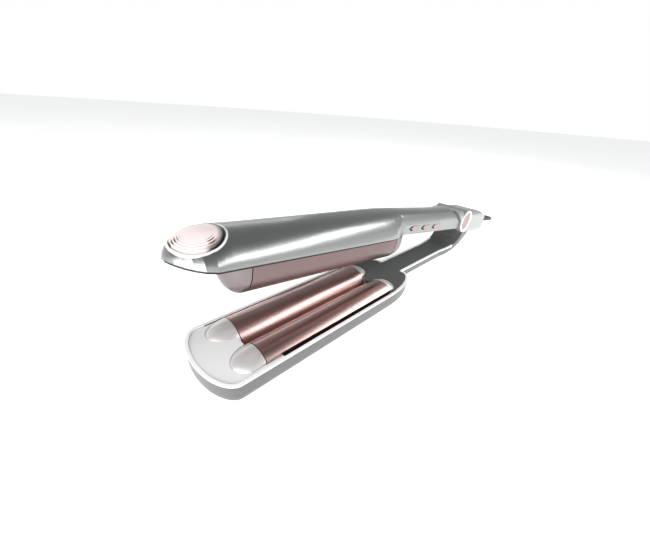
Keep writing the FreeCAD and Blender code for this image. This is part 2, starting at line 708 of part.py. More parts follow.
def jaw_top(x):
    """Top line of the jaw: nearly straight, coming down over the nose."""
    front_x = NOSE_REACH - JAW_TOP_FRONT[0]
    rear_x, rear_z = JAW_TOP_REAR
    share = min((front_x - x) / (front_x - rear_x), 1.0) if x < front_x else 0.0
    line = JAW_TOP_FRONT[1] + (rear_z - JAW_TOP_FRONT[1]) * share
    return JAW_EDGE_Z + (line - JAW_EDGE_Z) * rounded_share(NOSE_REACH - x, TOP_NOSE_L, TOP_NOSE_POWER)


def arm_stations():
    """Places along the arm: distance from the hinge, half width, top line, lower edge, jaw's share."""
    nose = [NOSE_REACH - reach for reach in NOSE_STATIONS]
    stations = []
    for x in nose + [NOSE_REACH - JAW_TOP_FRONT[0], JAW_TOP_REAR[0]]:
        half_w = JAW_HALF_W * rounded_share(NOSE_REACH - x, JAW_NOSE_L, JAW_NOSE_POWER)
        stations.append((x, half_w, jaw_top(x), JAW_EDGE_Z, 1.0))
    for x, share, top in SHOULDER:
        half_w = HANDLE_HALF_W + (JAW_HALF_W - HANDLE_HALF_W) * share
        stations.append((x, half_w, top, JAW_EDGE_Z, share))
    stations += [(x, HANDLE_HALF_W, top, HANDLE_EDGE_Z, 0.0) for x, top in HANDLE_TOPS]
    return stations


def arm_section(x, half_w, low_z, top_z, jaw_share):
    """Section across the arm: steep-sided below, rounded over the top."""
    height = top_z - low_z
    power_y, power_z = [handle + (jaw - handle) * jaw_share for jaw, handle in zip(JAW_POWERS, HANDLE_POWERS)]
    points = []
    for step in range(SECTION_STEPS + 1):
        turn = math.pi * step / SECTION_STEPS
        c, s = math.cos(turn), math.sin(turn)
        y = half_w * math.copysign(abs(c) ** (2 / power_y), c)
        points.append(V(-x, y, low_z + height * abs(s) ** (2 / power_z)))
    points[0].z = points[-1].z = low_z
    curve = Part.BSplineCurve()
    curve.interpolate(points)
    return Part.Wire([curve.toShape(), Part.makeLine(points[-1], points[0])])


def arm_form(inset, drop=0.0):
    """Outer form of the upper arm; with an inset, the room inside its cover, its foot lower by drop."""
    wires = []
    for x, half_w, top, edge, jaw_share in arm_stations():
        low_z = edge - drop
        if top - inset < low_z + 0.5 or half_w - inset < 2:
            continue
        wires.append(arm_section(x, half_w - inset, low_z, top - inset, jaw_share))
    return Part.makeLoft(wires, True, True)


def along_handle(x, front, rear):
    """Height at x on a straight line from the shoulder to the handle's rear end."""
    return front + (rear - front) * (x - SHOULDER_X) / (HANDLE_END_LOW_X - SHOULDER_X)


def split_z(x):
    return along_handle(x, SPLIT_FRONT_Z, SPLIT_REAR_Z)


def panel_low_z(x):
    return along_handle(x, PANEL_FRONT_Z, PANEL_REAR_Z)


def split_wedge(low_z):
    """Space under the cover along the handle, below the split line."""
    points = [(SHOULDER_X, low_z), (SHOULDER_X, SPLIT_FRONT_Z), (20, split_z(20)), (20, low_z)]
    return slab_y(points, TRAY_HALF_W + 5)


def handle_end_cut():
    """Space behind the handle's slanted rear end."""
    slope = (HANDLE_END_LOW_X - HANDLE_END_TOP_X) / (BLOCK_TOP_Z - SPLIT_REAR_Z)
    points = [
        (HANDLE_END_TOP_X - 5 * slope, BLOCK_TOP_Z + 5), (HANDLE_END_LOW_X, SPLIT_REAR_Z),
        (HANDLE_END_LOW_X, -20), (30, -20), (30, BLOCK_TOP_Z + 5),
    ]
    return slab_y(points, 40)


def oval_column(grow, z0=-2.0, z1=20.0):
    return column(ellipse_x(OVAL_X, 0, OVAL_A + grow, OVAL_B + grow, z0), z0, z1)


def skin_layer(depth):
    """Layer of the arm's form down to a depth under its top."""
    form = arm_form(0)
    sunk = form.copy()
    sunk.translate(V(0, 0, -depth))
    return form.cut(sunk)


def upper_cover(layer):
    """Long cover of jaw and handle in one moulding, open below."""
    outer = arm_form(0)
    room = arm_form(WALL, 1)
    dish = layer.common(oval_column(OVAL_TRIM_W + OVAL_GAP))
    body = cut(outer, room, split_wedge(JAW_EDGE_Z - 2), handle_end_cut(), dish)
    return largest(body)


def nose_trim(layer):
    """Thin bright ring round the oval panel."""
    return largest(layer.common(oval_column(OVAL_TRIM_W + OVAL_GAP - SEAT_GAP)).cut(oval_column(OVAL_GAP)))


def nose_panel(layer):
    """Oval panel on the slope of the nose."""
    return largest(layer.common(oval_column(0)))


def upper_floor():
    """Heat-resistant floor of the jaw, with the barrel's opening."""
    low_z = JAW_EDGE_Z + UPPER_FLOOR_RISE
    plate = arm_form(WALL + SEAT_GAP, 1).common(
        box(-NOSE_REACH, SHOULDER_X - 4, -40, 40, low_z, low_z + UPPER_FLOOR_T))
    reach1 = UPPER_REAR_SEAM_X + UPPER_REAR_CAP + RUN_GAP
    opening = box(FRONT_SEAM_X - 0.5, reach1, -BARREL_R - RUN_GAP, BARREL_R + RUN_GAP, -9, 9)
    nose = column(ellipse_x(FRONT_SEAM_X, 0, UPPER_FRONT_CAP + RUN_GAP, BARREL_R + RUN_GAP, -9), -9, 9)
    return largest(cut(plate, opening, nose))


def upper_carrier():
    """Heat-resistant frame that carries the upper barrel, hung from the cover's roof."""
    top_z = UPPER_AXIS_Z + UPPER_LEG
    plate = box(FRONT_SEAM_X, UPPER_REAR_SEAM_X, -BARREL_R, BARREL_R, top_z, top_z + CARRIER_T)
    roof = arm_form(WALL, 1)
    posts = []
    for x in (FRONT_SEAM_X + 16, UPPER_MID_X, UPPER_REAR_SEAM_X - 10):
        posts.append(rod_z(POST_R, top_z + 1, 15, x, 0))
    return join(plate, *posts).common(roof)


def handle_section(x, top_z, low_z, half_w, radius):
    """Section of the handle's lower half: a trough with rounded lower edges."""
    r = radius
    d = r * (1 - math.sqrt(0.5))
    points = [V(x, half_w, top_z), V(x, half_w, low_z + r), V(x, half_w - d, low_z + d), V(x, half_w - r, low_z)]
    mirror = [V(p.x, -p.y, p.z) for p in points]
    edges = [
        Part.makeLine(points[0], points[1]), Part.Arc(points[1], points[2], points[3]).toShape(),
        Part.makeLine(points[3], mirror[3]), Part.Arc(mirror[3], mirror[2], mirror[1]).toShape(),
        Part.makeLine(mirror[1], mirror[0]), Part.makeLine(mirror[0], points[0]),
    ]
    return Part.Wire(edges)


def handle_trough(inset, raise_top):
    front_x = SHOULDER_X + inset
    rear_x = HANDLE_END_LOW_X + 3 - inset
    sections = []
    for x in (front_x, rear_x):
        sections.append(handle_section(x, split_z(x) + raise_top, panel_low_z(x) + inset,
                                       HANDLE_HALF_W - inset, PANEL_ROUND - min(inset, 1.5)))
    return Part.makeLoft(sections, True, True)


def upper_rear_cap():
    """Rear end of the upper barrel, tucked under the shoulder and the handle's lower half."""
    piece = seat_upper(cap(UPPER_REAR_SEAM_X, UPPER_REAR_CAP, 1, BARREL_R, UPPER_LEG))
    under_shoulder = box(UPPER_REAR_SEAM_X, 0, -40, 40, JAW_EDGE_Z - RUN_GAP, 40)
    under_handle = box(SHOULDER_X - RUN_GAP, 0, -40, 40, PANEL_FRONT_Z - RUN_GAP - 0.6, 40)
    return largest(cut(piece, under_shoulder, under_handle))


def button_z(x):
    return split_z(x) - BUTTON_DROP


def button_space(grow, x):
    return box(x - BUTTON_L / 2 - grow, x + BUTTON_L / 2 + grow, -40, -HANDLE_HALF_W + WALL + 0.5,
               button_z(x) - BUTTON_H / 2 - grow, button_z(x) + BUTTON_H / 2 + grow)


def handle_panel():
    """Lower half of the handle, closed at both ends, with the buttons' windows."""
    outer = handle_trough(0, 0)
    clear = rod_y(HANDLE_END_R, -40, 40)
    room = cut(handle_trough(WALL, 3), rod_y(HANDLE_END_R + WALL, -40, 40))
    mouth = box(HANDLE_END_LOW_X - 9, 0, KNUCKLE_NEAR_Y - 0.4, KNUCKLE_FAR_Y + 0.4,
                -KNUCKLE_BAR / 2 - 0.4, 20)
    body = cut(outer, clear, room, mouth)
    for x in BUTTON_X:
        body = cut(body, button_space(BUTTON_GAP, x))
    posts = [rod_z(BOARD_POST_R, panel_low_z(x) + 0.5, BOARD_Z, x, y) for x, y in board_posts()]
    return join(largest(body), *posts)


def board_posts():
    """Four posts under the board, clear of the switches."""
    far = [(BOARD_FRONT_X + 3, BOARD_POST_Y), (BOARD_REAR_X - 3, BOARD_POST_Y)]
    near = [((a + b) / 2, -BOARD_POST_Y) for a, b in zip(BUTTON_X, BUTTON_X[1:])]
    return far + near


def button(x):
    """Flat key in its window, with a flange behind the wall and a stem on the switch."""
    face_y = -HANDLE_HALF_W - BUTTON_PROUD
    wall_y = -HANDLE_HALF_W + WALL
    z, half_h, rim = button_z(x), BUTTON_H / 2, FLANGE
    key = box(x - BUTTON_L / 2, x + BUTTON_L / 2, face_y, wall_y + BUTTON_GAP, z - half_h, z + half_h)
    flange = box(x - BUTTON_L / 2 - rim, x + BUTTON_L / 2 + rim, wall_y + BUTTON_GAP,
                 wall_y + BUTTON_GAP + FLANGE_T, z - half_h - rim, z + half_h + rim)
    return join(key, flange)


def switches():
    """Three tact switches under the board, one behind each button."""
    y0 = -HANDLE_HALF_W + WALL + BUTTON_GAP + FLANGE_T + BUTTON_TRAVEL + BUTTON_GAP
    half_h = BUTTON_H / 2
    blocks = []
    for x in BUTTON_X:
        low_z = button_z(x) - half_h
        blocks.append(box(x - SWITCH_W / 2, x + SWITCH_W / 2, y0, y0 + SWITCH_D, low_z, BOARD_Z))
    return Part.makeCompound(blocks)


def control_board():
    """Circuit board along the handle, over the switches."""
    half_w = BOARD_HALF_W
    return box(BOARD_FRONT_X, BOARD_REAR_X, -half_w, half_w, BOARD_Z, BOARD_Z + BOARD_T)


def handle_frame():
    """Steel bar in the handle whose rear end is the hinge knuckle."""
    rear_x = HANDLE_END_LOW_X - 4
    lift = WALL + SEAT_GAP
    front_z, rear_z = panel_low_z(FRAME_FRONT_X) + lift, panel_low_z(rear_x) + lift
    bar = slab_y([(FRAME_FRONT_X, front_z), (rear_x, rear_z), (rear_x, rear_z + FRAME_T),
                  (FRAME_FRONT_X, front_z + FRAME_T)], FRAME_HALF_W)
    rise = box(rear_x - 4, rear_x, -FRAME_HALF_W, KNUCKLE_FAR_Y, rear_z + 0.2, KNUCKLE_BAR / 2)
    arm = box(rear_x - 4, 0, KNUCKLE_NEAR_Y, KNUCKLE_FAR_Y, -KNUCKLE_BAR / 2, KNUCKLE_BAR / 2)
    knuckle = rod_y(KNUCKLE_R, KNUCKLE_NEAR_Y, KNUCKLE_FAR_Y)
    return cut(join(bar, rise, arm, knuckle), rod_y(PIN_R + PIN_CLEAR, -40, 40))


def upper_leads():
    """Two insulated wires from the board to the upper heater."""
    z = BOARD_Z + BOARD_T + LEAD_R
    return Part.makeCompound([rod_x(LEAD_R, UPPER_REAR_SEAM_X + 4, BUTTON_X[0] + 6, y, z) for y in (-3.0, 3.0)])


# Cord: its free stretch, its coil and its plug

def outlet_point(reach):
    """Point on the outlet's line, in the frame of the lower arm."""
    start, run = relief_line()
    run.normalize()
    point = start + run * reach
    turn = FreeCAD.Rotation(V(0, 1, 0), OPEN_ANGLE)
    return turn.multVec(point)


def coil_radius(turn):
    """Radius of the coil after turn turns: in through one layer, out through the next."""
    outer = COIL_R + COIL_PITCH * COIL_TURNS / 2
    phase = turn % (2 * COIL_TURNS)
    last_run = max(turn - COIL_LAYERS * COIL_TURNS, 0.0)
    return outer - COIL_PITCH * (min(phase, 2 * COIL_TURNS - phase) - 2 * last_run)


def coil_height(turn):
    """Height of the turns' middle: it climbs one layer wherever the spiral reverses."""
    height = FLOOR_Z + TIE_T + TIE_GAP + CORD_D / 2
    for layer in range(1, COIL_LAYERS):
        share = min(max((turn - layer * COIL_TURNS + 0.25) / 0.5, 0.0), 1.0)
        height += (CORD_D + LAYER_GAP) * share * share * (3 - 2 * share)
    return height


def coil_point(turn):
    angle = math.radians(COIL_START + 360 * turn)
    radius = coil_radius(turn)
    return V(COIL_X + radius * math.cos(angle), COIL_Y + radius * math.sin(angle), coil_height(turn))


def coil_tangent(turn):
    step = 0.001
    before = max(turn - step, 0.0)
    after = min(turn + step, COIL_ALL)
    return (coil_point(after) - coil_point(before)).normalize()


def biarc(p0, t0, p1, t1):
    """Two tangent arcs between two points with given directions."""
    v = p1 - p0
    t = t0 + t1
    a = 2 * (1 - t0.dot(t1))
    b = v.dot(t)
    d = (-b + math.sqrt(b * b + a * v.dot(v))) / a if a > 1e-9 else v.dot(v) / (4 * v.dot(t1))
    middle = (p0 + t0 * d + p1 - t1 * d) * 0.5
    return [bend(p0, t0, middle), bend(p1, t1 * -1, middle, True)]


def bend(start, tangent, end, backwards=False):
    """Arc from start to end that leaves start along tangent."""
    chord = end - start
    along = chord.dot(tangent)
    side = chord - tangent * along
    if side.Length < 1e-6:
        return Part.makeLine(end, start) if backwards else Part.makeLine(start, end)
    radius = chord.dot(chord) / (2 * side.Length)
    normal = side.normalize()
    centre = start + normal * radius
    halfway = (start + end) * 0.5 - centre
    middle = centre + halfway.normalize() * radius
    if backwards:
        return Part.Arc(end, middle, start).toShape()
    return Part.Arc(start, middle, end).toShape()


def coil_path():
    edges = []
    count = int(round(COIL_ALL * 4))
    for step in range(count):
        a, b = COIL_ALL * step / count, COIL_ALL * (step + 1) / count
        edges += biarc(coil_point(a), coil_tangent(a), coil_point(b), coil_tangent(b))
    end, way = plug_seat()
    edges += biarc(coil_point(COIL_ALL), coil_tangent(COIL_ALL), end, way)
    return Part.Wire(edges)


def plug_seat():
    """Where the cord enters the plug, which lies on the floor beside the coil, and its direction."""
    start, way = coil_point(COIL_ALL), coil_tangent(COIL_ALL)
    heading = math.atan2(way.y, way.x)
    ahead = V(math.cos(heading + math.radians(TAIL_TURN) / 2), math.sin(heading + math.radians(TAIL_TURN) / 2), 0)
    end = start + ahead * TAIL_L
    end.z = FLOOR_Z + PLUG_HALF_H
    last = heading + math.radians(TAIL_TURN)
    return end, V(math.cos(last), math.sin(last), 0)


def tube(path, point, direction):
    profile = Part.Wire([Part.Circle(point, direction, CORD_D / 2).toShape()])
    return path.makePipeShell([profile], True, False)


def coil_gap(points=96):
    """Least gap between the coil and itself, measured on points a turn or so apart."""
    count = int(COIL_ALL * points)
    line = [coil_point(COIL_ALL * i / count) for i in range(count + 1)]
    least = 1e9
    for i, p in enumerate(line):
        for j in range(i + points // 2, len(line)):
            least = min(least, (p - line[j]).Length)
    return least - CORD_D


def cord_coil():
    start = coil_point(0.0)
    return tube(coil_path(), start, coil_tangent(0.0))


def cord_route():
    """Points of the cord from the strain relief to the coil, in the frame of the lower arm."""
    last = coil_point(0.0)
    way_in = coil_tangent(0.0)
    reach = relief_line()[1].Length
    points = [outlet_point(reach), outlet_point(reach + CORD_FIRST_RUN)]
    points += [V(x, y, FLOOR_Z + height) for x, y, height in CORD_POINTS]
    points.append(last - way_in * CORD_LEAD_IN)
    points.append(last)
    return points


def rounded_path(points):
    """Straight runs joined by tangent arcs, each as large as its two runs allow."""
    edges = []
    radii = []
    here = points[0]
    for before, corner, after in zip(points, points[1:], points[2:]):
        a, b = corner - before, after - corner
        run = min(a.Length, b.Length)
        a.normalize()
        b.normalize()
        turn = math.acos(max(-1.0, min(1.0, a.dot(b))))
        cut_back = 0.45 * run
        radius = cut_back / math.tan(turn / 2)
        radii.append(round(radius, 1))
        first, last = corner - a * cut_back, corner + b * cut_back
        middle_way = (first + last) * 0.5 - corner
        centre = corner + middle_way.normalize() * (radius / math.cos(turn / 2))
        middle = centre + (corner - centre).normalize() * radius
        edges.append(Part.makeLine(here, first))
        edges.append(Part.Arc(first, middle, last).toShape())
        here = last
    edges.append(Part.makeLine(here, points[-1]))
    print("cord bend radii", radii)
    return Part.Wire(edges)


def cord():
    points = cord_route()
    path = rounded_path(points)
    solid = tube(path, points[0], points[1] - points[0])
    print("cord length", round(path.Length, 1), "volume share",
          round(solid.Volume / (path.Length * math.pi * CORD_D ** 2 / 4), 4))
    return solid


def cord_tie():
    """Strap round all the turns at one side of the coil."""
    half = COIL_PITCH * COIL_TURNS / 2 + CORD_D / 2
    y_mid = COIL_Y
    low_z = FLOOR_Z
    x_in = COIL_X + COIL_R - half - TIE_GAP
    x_out = COIL_X + COIL_R + half + TIE_GAP
    top_z = coil_height(COIL_ALL) + CORD_D / 2 + TIE_GAP
    outer = box(x_in - TIE_T, x_out + TIE_T, y_mid - TIE_W / 2, y_mid + TIE_W / 2, low_z, top_z + TIE_T)
    inner = box(x_in, x_out, y_mid - TIE_W, y_mid + TIE_W, low_z + TIE_T, top_z)
    return outer.cut(inner)


def plug_frame(shape):
    """Sets a piece drawn along +X from the plug's cord end."""
    end, way = plug_seat()
    moved = shape.copy()
    moved.rotate(V(0, 0, 0), V(0, 0, 1), math.degrees(math.atan2(way.y, way.x)))
    moved.translate(end)
    return moved


def plug_body():
    """Flat two-pin plug with a tapered neck over the cord."""
    half_h = PLUG_HALF_H
    neck = Part.makeCone(CORD_D / 2 + 0.8, half_h * 0.72, PLUG_NECK_L, V(0, 0, 0), V(1, 0, 0))
    grip = box(PLUG_NECK_L - 2, PLUG_NECK_L + PLUG_L, -PLUG_W / 2, PLUG_W / 2, -half_h, half_h)
    plan = Part.makePolygon([V(PLUG_NECK_L - 2, 6.0, -20), V(PLUG_NECK_L + 12, PLUG_W / 2, -20),
                             V(PLUG_NECK_L + PLUG_L, PLUG_W / 2, -20), V(PLUG_NECK_L + PLUG_L, -PLUG_W / 2, -20),
                             V(PLUG_NECK_L + 12, -PLUG_W / 2, -20), V(PLUG_NECK_L - 2, -6.0, -20),
                             V(PLUG_NECK_L - 2, 6.0, -20)])
    grip = grip.common(Part.Face(plan).extrude(V(0, 0, 40)))
    return plug_frame(join(neck, grip))


def plug_pins():
    pins = []
    for side in (-1, 1):
        pins.append(rod_x(PLUG_PIN_R, PLUG_NECK_L + PLUG_L, PLUG_NECK_L + PLUG_L + PLUG_PIN_L,
                          side * PLUG_PIN_PITCH / 2, 0))
    return plug_frame(Part.makeCompound(pins))


def build():
    block = turned_open(block_outer())
    layer = skin_layer(OVAL_DEPTH)
    pieces = {
        "lower_shell": lower_shell(block),
        "front_deck": front_deck(),
        "neck_cover": cut(neck_cover(), block),
        "lower_carrier": lower_carrier(),
        "shell_screws": shell_screws(),
        "lower_leads": lower_leads(),
        "tail_block": tail_block(),
        "hinge_pin": hinge_pin(),
        "hinge_spring": hinge_spring(),
        "strain_relief": strain_relief(),
        "cord": cord(),
        "cord_coil": cord_coil(),
        "cord_tie": cord_tie(),
        "plug_body": plug_body(),
        "plug_pins": plug_pins(),
    }
    for side, name in ((-1, "near"), (1, "far")):
        def seat(shape):
            return seat_lower(shape, side)
        tube_piece = barrel(FRONT_SEAM_X, LOWER_REAR_SEAM_X, LOWER_FLANK, LOWER_LEG)
        pieces["lower_barrel_" + name] = seat(tube_piece)
        pieces["lower_front_cap_" + name] = seat(cap(FRONT_SEAM_X, LOWER_FRONT_CAP, -1, LOWER_FLANK, LOWER_LEG))
        pieces["lower_rear_cap_" + name] = seat(cap(LOWER_REAR_SEAM_X, LOWER_REAR_CAP, 1, LOWER_FLANK, LOWER_LEG))
        pieces["lower_heater_" + name] = seat(heater(LOWER_MID_X))
        pieces["lower_heater_pads_" + name] = seat(heater_pads(LOWER_MID_X, -LOWER_LEG))
        pieces["thermal_fuse_" + name] = seat(thermal_fuse(LOWER_MID_X))
        pieces["hinge_ring_" + name] = hinge_ring(side)
        pieces["hinge_disc_" + name] = hinge_disc(side)
    for name, shape in pieces.items():
        pieces[name] = lower(shape)
    top = {
        "upper_cover": upper_cover(layer),
        "nose_trim": nose_trim(layer),
        "nose_panel": nose_panel(layer),
        "upper_floor": upper_floor(),
        "upper_carrier": upper_carrier(),
        "upper_barrel": seat_upper(barrel(FRONT_SEAM_X, UPPER_REAR_SEAM_X, BARREL_R, UPPER_LEG)),
        "upper_front_cap": seat_upper(cap(FRONT_SEAM_X, UPPER_FRONT_CAP, -1, BARREL_R, UPPER_LEG)),
        "upper_rear_cap": upper_rear_cap(),
        "upper_heater": seat_upper(heater(UPPER_MID_X)),
        "upper_heater_pads": seat_upper(heater_pads(UPPER_MID_X, -UPPER_LEG)),
        "upper_thermal_fuse": seat_upper(thermal_fuse(UPPER_MID_X)),
        "handle_panel": handle_panel(),
        "handle_frame": handle_frame(),
        "control_board": control_board(),
        "button_switches": switches(),
        "upper_leads": upper_leads(),
    }
    for index, x in enumerate(BUTTON_X, start=1):
        top["button_" + str(index)] = button(x)
    for name, shape in top.items():
        pieces[name] = upper(shape)
    return pieces


if __name__ == "__main__":
    os.makedirs("parts", exist_ok=True)
    for name, shape in build().items():
        bound = shape.BoundBox
        print(name, "valid" if shape.isValid() else "NOT VALID", len(shape.Solids), round(shape.Volume, 1),
              [round(n, 1) for n in (bound.XMin, bound.XMax, bound.YMin, bound.YMax, bound.ZMin, bound.ZMax)])
        shape.exportStep("parts/" + name + ".step")
    print("least gap in the coil", round(coil_gap(), 2))
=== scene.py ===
"""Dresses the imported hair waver: camera, studio, finishes and the pieces that the solids leave plain."""

import json
import logging
import math
from dataclasses import dataclass
from enum import Enum

import bmesh
import bpy
from mathutils import Matrix, Vector

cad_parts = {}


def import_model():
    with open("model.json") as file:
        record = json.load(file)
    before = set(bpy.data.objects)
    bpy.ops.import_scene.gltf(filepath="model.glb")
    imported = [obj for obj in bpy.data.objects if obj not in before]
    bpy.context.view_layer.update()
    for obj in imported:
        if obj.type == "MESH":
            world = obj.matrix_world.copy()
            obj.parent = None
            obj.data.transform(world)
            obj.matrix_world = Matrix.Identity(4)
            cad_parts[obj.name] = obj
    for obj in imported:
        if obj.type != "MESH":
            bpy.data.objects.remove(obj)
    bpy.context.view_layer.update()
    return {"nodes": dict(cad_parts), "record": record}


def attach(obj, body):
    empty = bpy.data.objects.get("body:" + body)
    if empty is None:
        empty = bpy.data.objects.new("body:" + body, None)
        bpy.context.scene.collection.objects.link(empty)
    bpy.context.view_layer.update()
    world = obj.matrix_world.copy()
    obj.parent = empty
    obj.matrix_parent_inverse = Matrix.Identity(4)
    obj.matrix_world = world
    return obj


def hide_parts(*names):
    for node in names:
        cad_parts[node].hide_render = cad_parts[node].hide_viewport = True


LOG = logging.getLogger("waver")
MM = 0.001
PIVOT = Vector((101.054, 0.0, 37.5))
OPEN_DEG = 7.76
# What all finishes share: a coat's roughness, how far drawing stretches the grain, and the noises' detail.
COAT_ROUGHNESS = 0.08
DRAWN_STRETCH = 0.04
GRAIN_DETAIL = 4.0
CLOUD_DETAIL = 3.0
# How far roughness varies with the grain, and how cloud and grain share out the second tone.
ROUGH_SPREAD = 0.15
CLOUD_RANGE = (0.3, 0.7)
GRAIN_WEIGHT = 0.3
SHADE_WEIGHT = 0.75
# Circuit tracks: the gap between two in millimetres, and their length against their width.
TRACK_GAP = 0.35
TRACK_RATIO = 4.0
# A mark's edge fades over this much, or over this share of a narrow mark.
EDGE_SOFT = 0.12
EDGE_SHARE = 0.5

# One test of a mark: a value, and the two bounds that it lies between.
Span = tuple[bpy.types.NodeSocket, float, float]


class Body(Enum):
    """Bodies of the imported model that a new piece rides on."""

    LOWER = "lower_arm"


class Pattern(Enum):
    """How a finish varies over its surface."""

    MOULDED = "moulded"
    DRAWN = "drawn"
    SPECKLED = "speckled"
    TRACKED = "tracked"


def linear(code: str) -> tuple[float, float, float, float]:
    """Turn an sRGB hex colour into linear light.

    Args:
        code: Six hex digits, with or without a leading hash.

    Returns:
        Linear red, green and blue, and an alpha of one.
    """
    digits = code.lstrip("#")
    parts = [int(digits[i:i + 2], 16) / 255 for i in (0, 2, 4)]
    low_high = [p / 12.92 if p <= 0.04045 else ((p + 0.055) / 1.055) ** 2.4 for p in parts]
    return (low_high[0], low_high[1], low_high[2], 1.0)


def add_node(tree: bpy.types.NodeTree, kind: str, settings: dict | None = None,
             **inputs: object) -> bpy.types.Node:
    """Add one node, with its settings, its values and the links into it.

    Args:
        tree: Node tree that takes the node.
        kind: Blender's name of the node type.
        settings: Attributes of the node itself.
        **inputs: Values or output sockets by input name, with spaces as underscores, or by n and the
            input's number where names repeat. A colour mix takes its share at n0 and its colours at n6
            and n7, and gives the result at output 2.

    Returns:
        The new node.
    """
    node = tree.nodes.new(kind)
    for name, value in (settings or {}).items():
        setattr(node, name, value)
    for name, value in inputs.items():
        key = int(name[1:]) if name[0] == "n" and name[1:].isdigit() else name.replace("_", " ")
        if isinstance(value, bpy.types.NodeSocket):
            tree.links.new(value, node.inputs[key])
        else:
            node.inputs[key].default_value = value
    return node


@dataclass(frozen=True)
class Finish:
    """One finish of the tool, as its material is made and as it looks.

    Every finish keeps the shader's IOR of 1.5, which is close to that of ABS, nylon, PVC and lacquer.
    The flakes of a lacquer and the grain of a moulding are about a tenth of grain_mm on the real tool, too
    fine to show, so they are drawn that much coarser.
    """

    label: str
    colour: str
    shade: str
    roughness: float
    metallic: float = 0.0
    coat: float = 0.0
    grain_mm: float = 0.8
    bump_mm: float = 0.01
    cloud_mm: float = 35.0
    pattern: Pattern = Pattern.MOULDED

    def material(self) -> bpy.types.Material:
        """Make the finish's material on first use.

        Returns:
            The material.
        """
        found = bpy.data.materials.get(self.label)
        if found:
            return found
        made = bpy.data.materials.new(self.label)
        made.use_nodes = True
        tree = made.node_tree
        tree.nodes.clear()
        place = add_node(tree, "ShaderNodeTexCoord").outputs["Object"]
        stretch = (DRAWN_STRETCH, 1.0, 1.0) if self.pattern is Pattern.DRAWN else (1.0, 1.0, 1.0)
        laid = add_node(tree, "ShaderNodeMapping", Vector=place, Scale=stretch)
        grain = self._grain(tree, laid.outputs["Vector"])
        cloud = add_node(tree, "ShaderNodeTexNoise", Vector=place, Scale=1 / (self.cloud_mm * MM),
                         Detail=CLOUD_DETAIL)
        tone = add_node(tree, "ShaderNodeMix", {"data_type": "RGBA"}, n6=linear(self.colour),
                        n7=linear(self.shade), n0=self._share(tree, cloud.outputs["Fac"], grain)).outputs[2]
        for share, colour in self.marks(tree):
            tone = add_node(tree, "ShaderNodeMix", {"data_type": "RGBA"}, n0=share, n6=tone,
                            n7=linear(colour)).outputs[2]
        rough = add_node(tree, "ShaderNodeMapRange", Value=grain, To_Min=self.roughness * (1 - ROUGH_SPREAD),
                         To_Max=self.roughness * (1 + ROUGH_SPREAD))
        bump = add_node(tree, "ShaderNodeBump", Height=grain, Strength=1.0, Distance=self.bump_mm * MM)
        shader = add_node(tree, "ShaderNodeBsdfPrincipled", Base_Color=tone, Metallic=self.metallic,
                          Roughness=rough.outputs["Result"], Normal=bump.outputs["Normal"],
                          Coat_Weight=self.coat, Coat_Roughness=COAT_ROUGHNESS)
        add_node(tree, "ShaderNodeOutputMaterial", Surface=shader.outputs["BSDF"])
        return made

    def marks(self, tree: bpy.types.NodeTree) -> list[tuple[bpy.types.NodeSocket, str]]:
        """Add what is laid over the plain tones, which is nothing here; a marked finish has its own.

        Args:
            tree: Node tree that takes the nodes.

        Returns:
            The share and the colour of each mark, the lowest one first.
        """
        return []

    def _grain(self, tree: bpy.types.NodeTree, where: bpy.types.NodeSocket) -> bpy.types.NodeSocket:
        """Add the fine pattern.

        Args:
            tree: Node tree that takes the nodes.
            where: Place on the piece.

        Returns:
            The pattern's height.
        """
        scale = 1 / (self.grain_mm * MM)
        if self.pattern is Pattern.SPECKLED:
            return add_node(tree, "ShaderNodeTexVoronoi", Vector=where, Scale=scale).outputs["Distance"]
        if self.pattern is Pattern.TRACKED:
            tracks = add_node(tree, "ShaderNodeTexBrick", Vector=where, Scale=1.0,
                              Mortar_Size=TRACK_GAP * MM, Row_Height=self.grain_mm * MM,
                              Brick_Width=self.grain_mm * TRACK_RATIO * MM)
            return tracks.outputs["Fac"]
        return add_node(tree, "ShaderNodeTexNoise", Vector=where, Scale=scale,
                        Detail=GRAIN_DETAIL).outputs["Fac"]

    def _share(self, tree: bpy.types.NodeTree, cloud: bpy.types.NodeSocket,
               grain: bpy.types.NodeSocket) -> bpy.types.NodeSocket:
        """Mix the wide and the fine pattern.

        Args:
            tree: Node tree that takes the nodes.
            cloud: Wide pattern.
            grain: Fine pattern.

        Returns:
            The share of the second tone.
        """
        if self.pattern is Pattern.TRACKED:
            return grain
        wide = add_node(tree, "ShaderNodeMapRange", Value=cloud, From_Min=CLOUD_RANGE[0],
                        From_Max=CLOUD_RANGE[1])
        both = add_node(tree, "ShaderNodeMath", {"operation": "MULTIPLY_ADD"}, n0=grain, n1=GRAIN_WEIGHT,
                        n2=wide.outputs["Result"])
        return add_node(tree, "ShaderNodeMath", {"operation": "MULTIPLY", "use_clamp": True},
                        n0=both.outputs[0], n1=SHADE_WEIGHT).outputs[0]


def arm_place(tree: bpy.types.NodeTree, opened_deg: float) -> bpy.types.Node:
    """Add nodes that give the place on an arm in millimetres from the hinge, jaws shut.

    Args:
        tree: Node tree that takes them.
        opened_deg: How far the arm stands open in the frame.

    Returns:
        A node with the outputs X, Y and Z.
    """
    row = add_node(tree, "ShaderNodeTexCoord").outputs["Object"]
    turn = (0.0, math.radians(opened_deg), 0.0)
    shut = add_node(tree, "ShaderNodeMapping", {"vector_type": "TEXTURE"}, Vector=row,
                    Location=PIVOT * MM, Rotation=turn, Scale=(MM, MM, MM))
    return add_node(tree, "ShaderNodeSeparateXYZ", Vector=shut.outputs["Vector"])


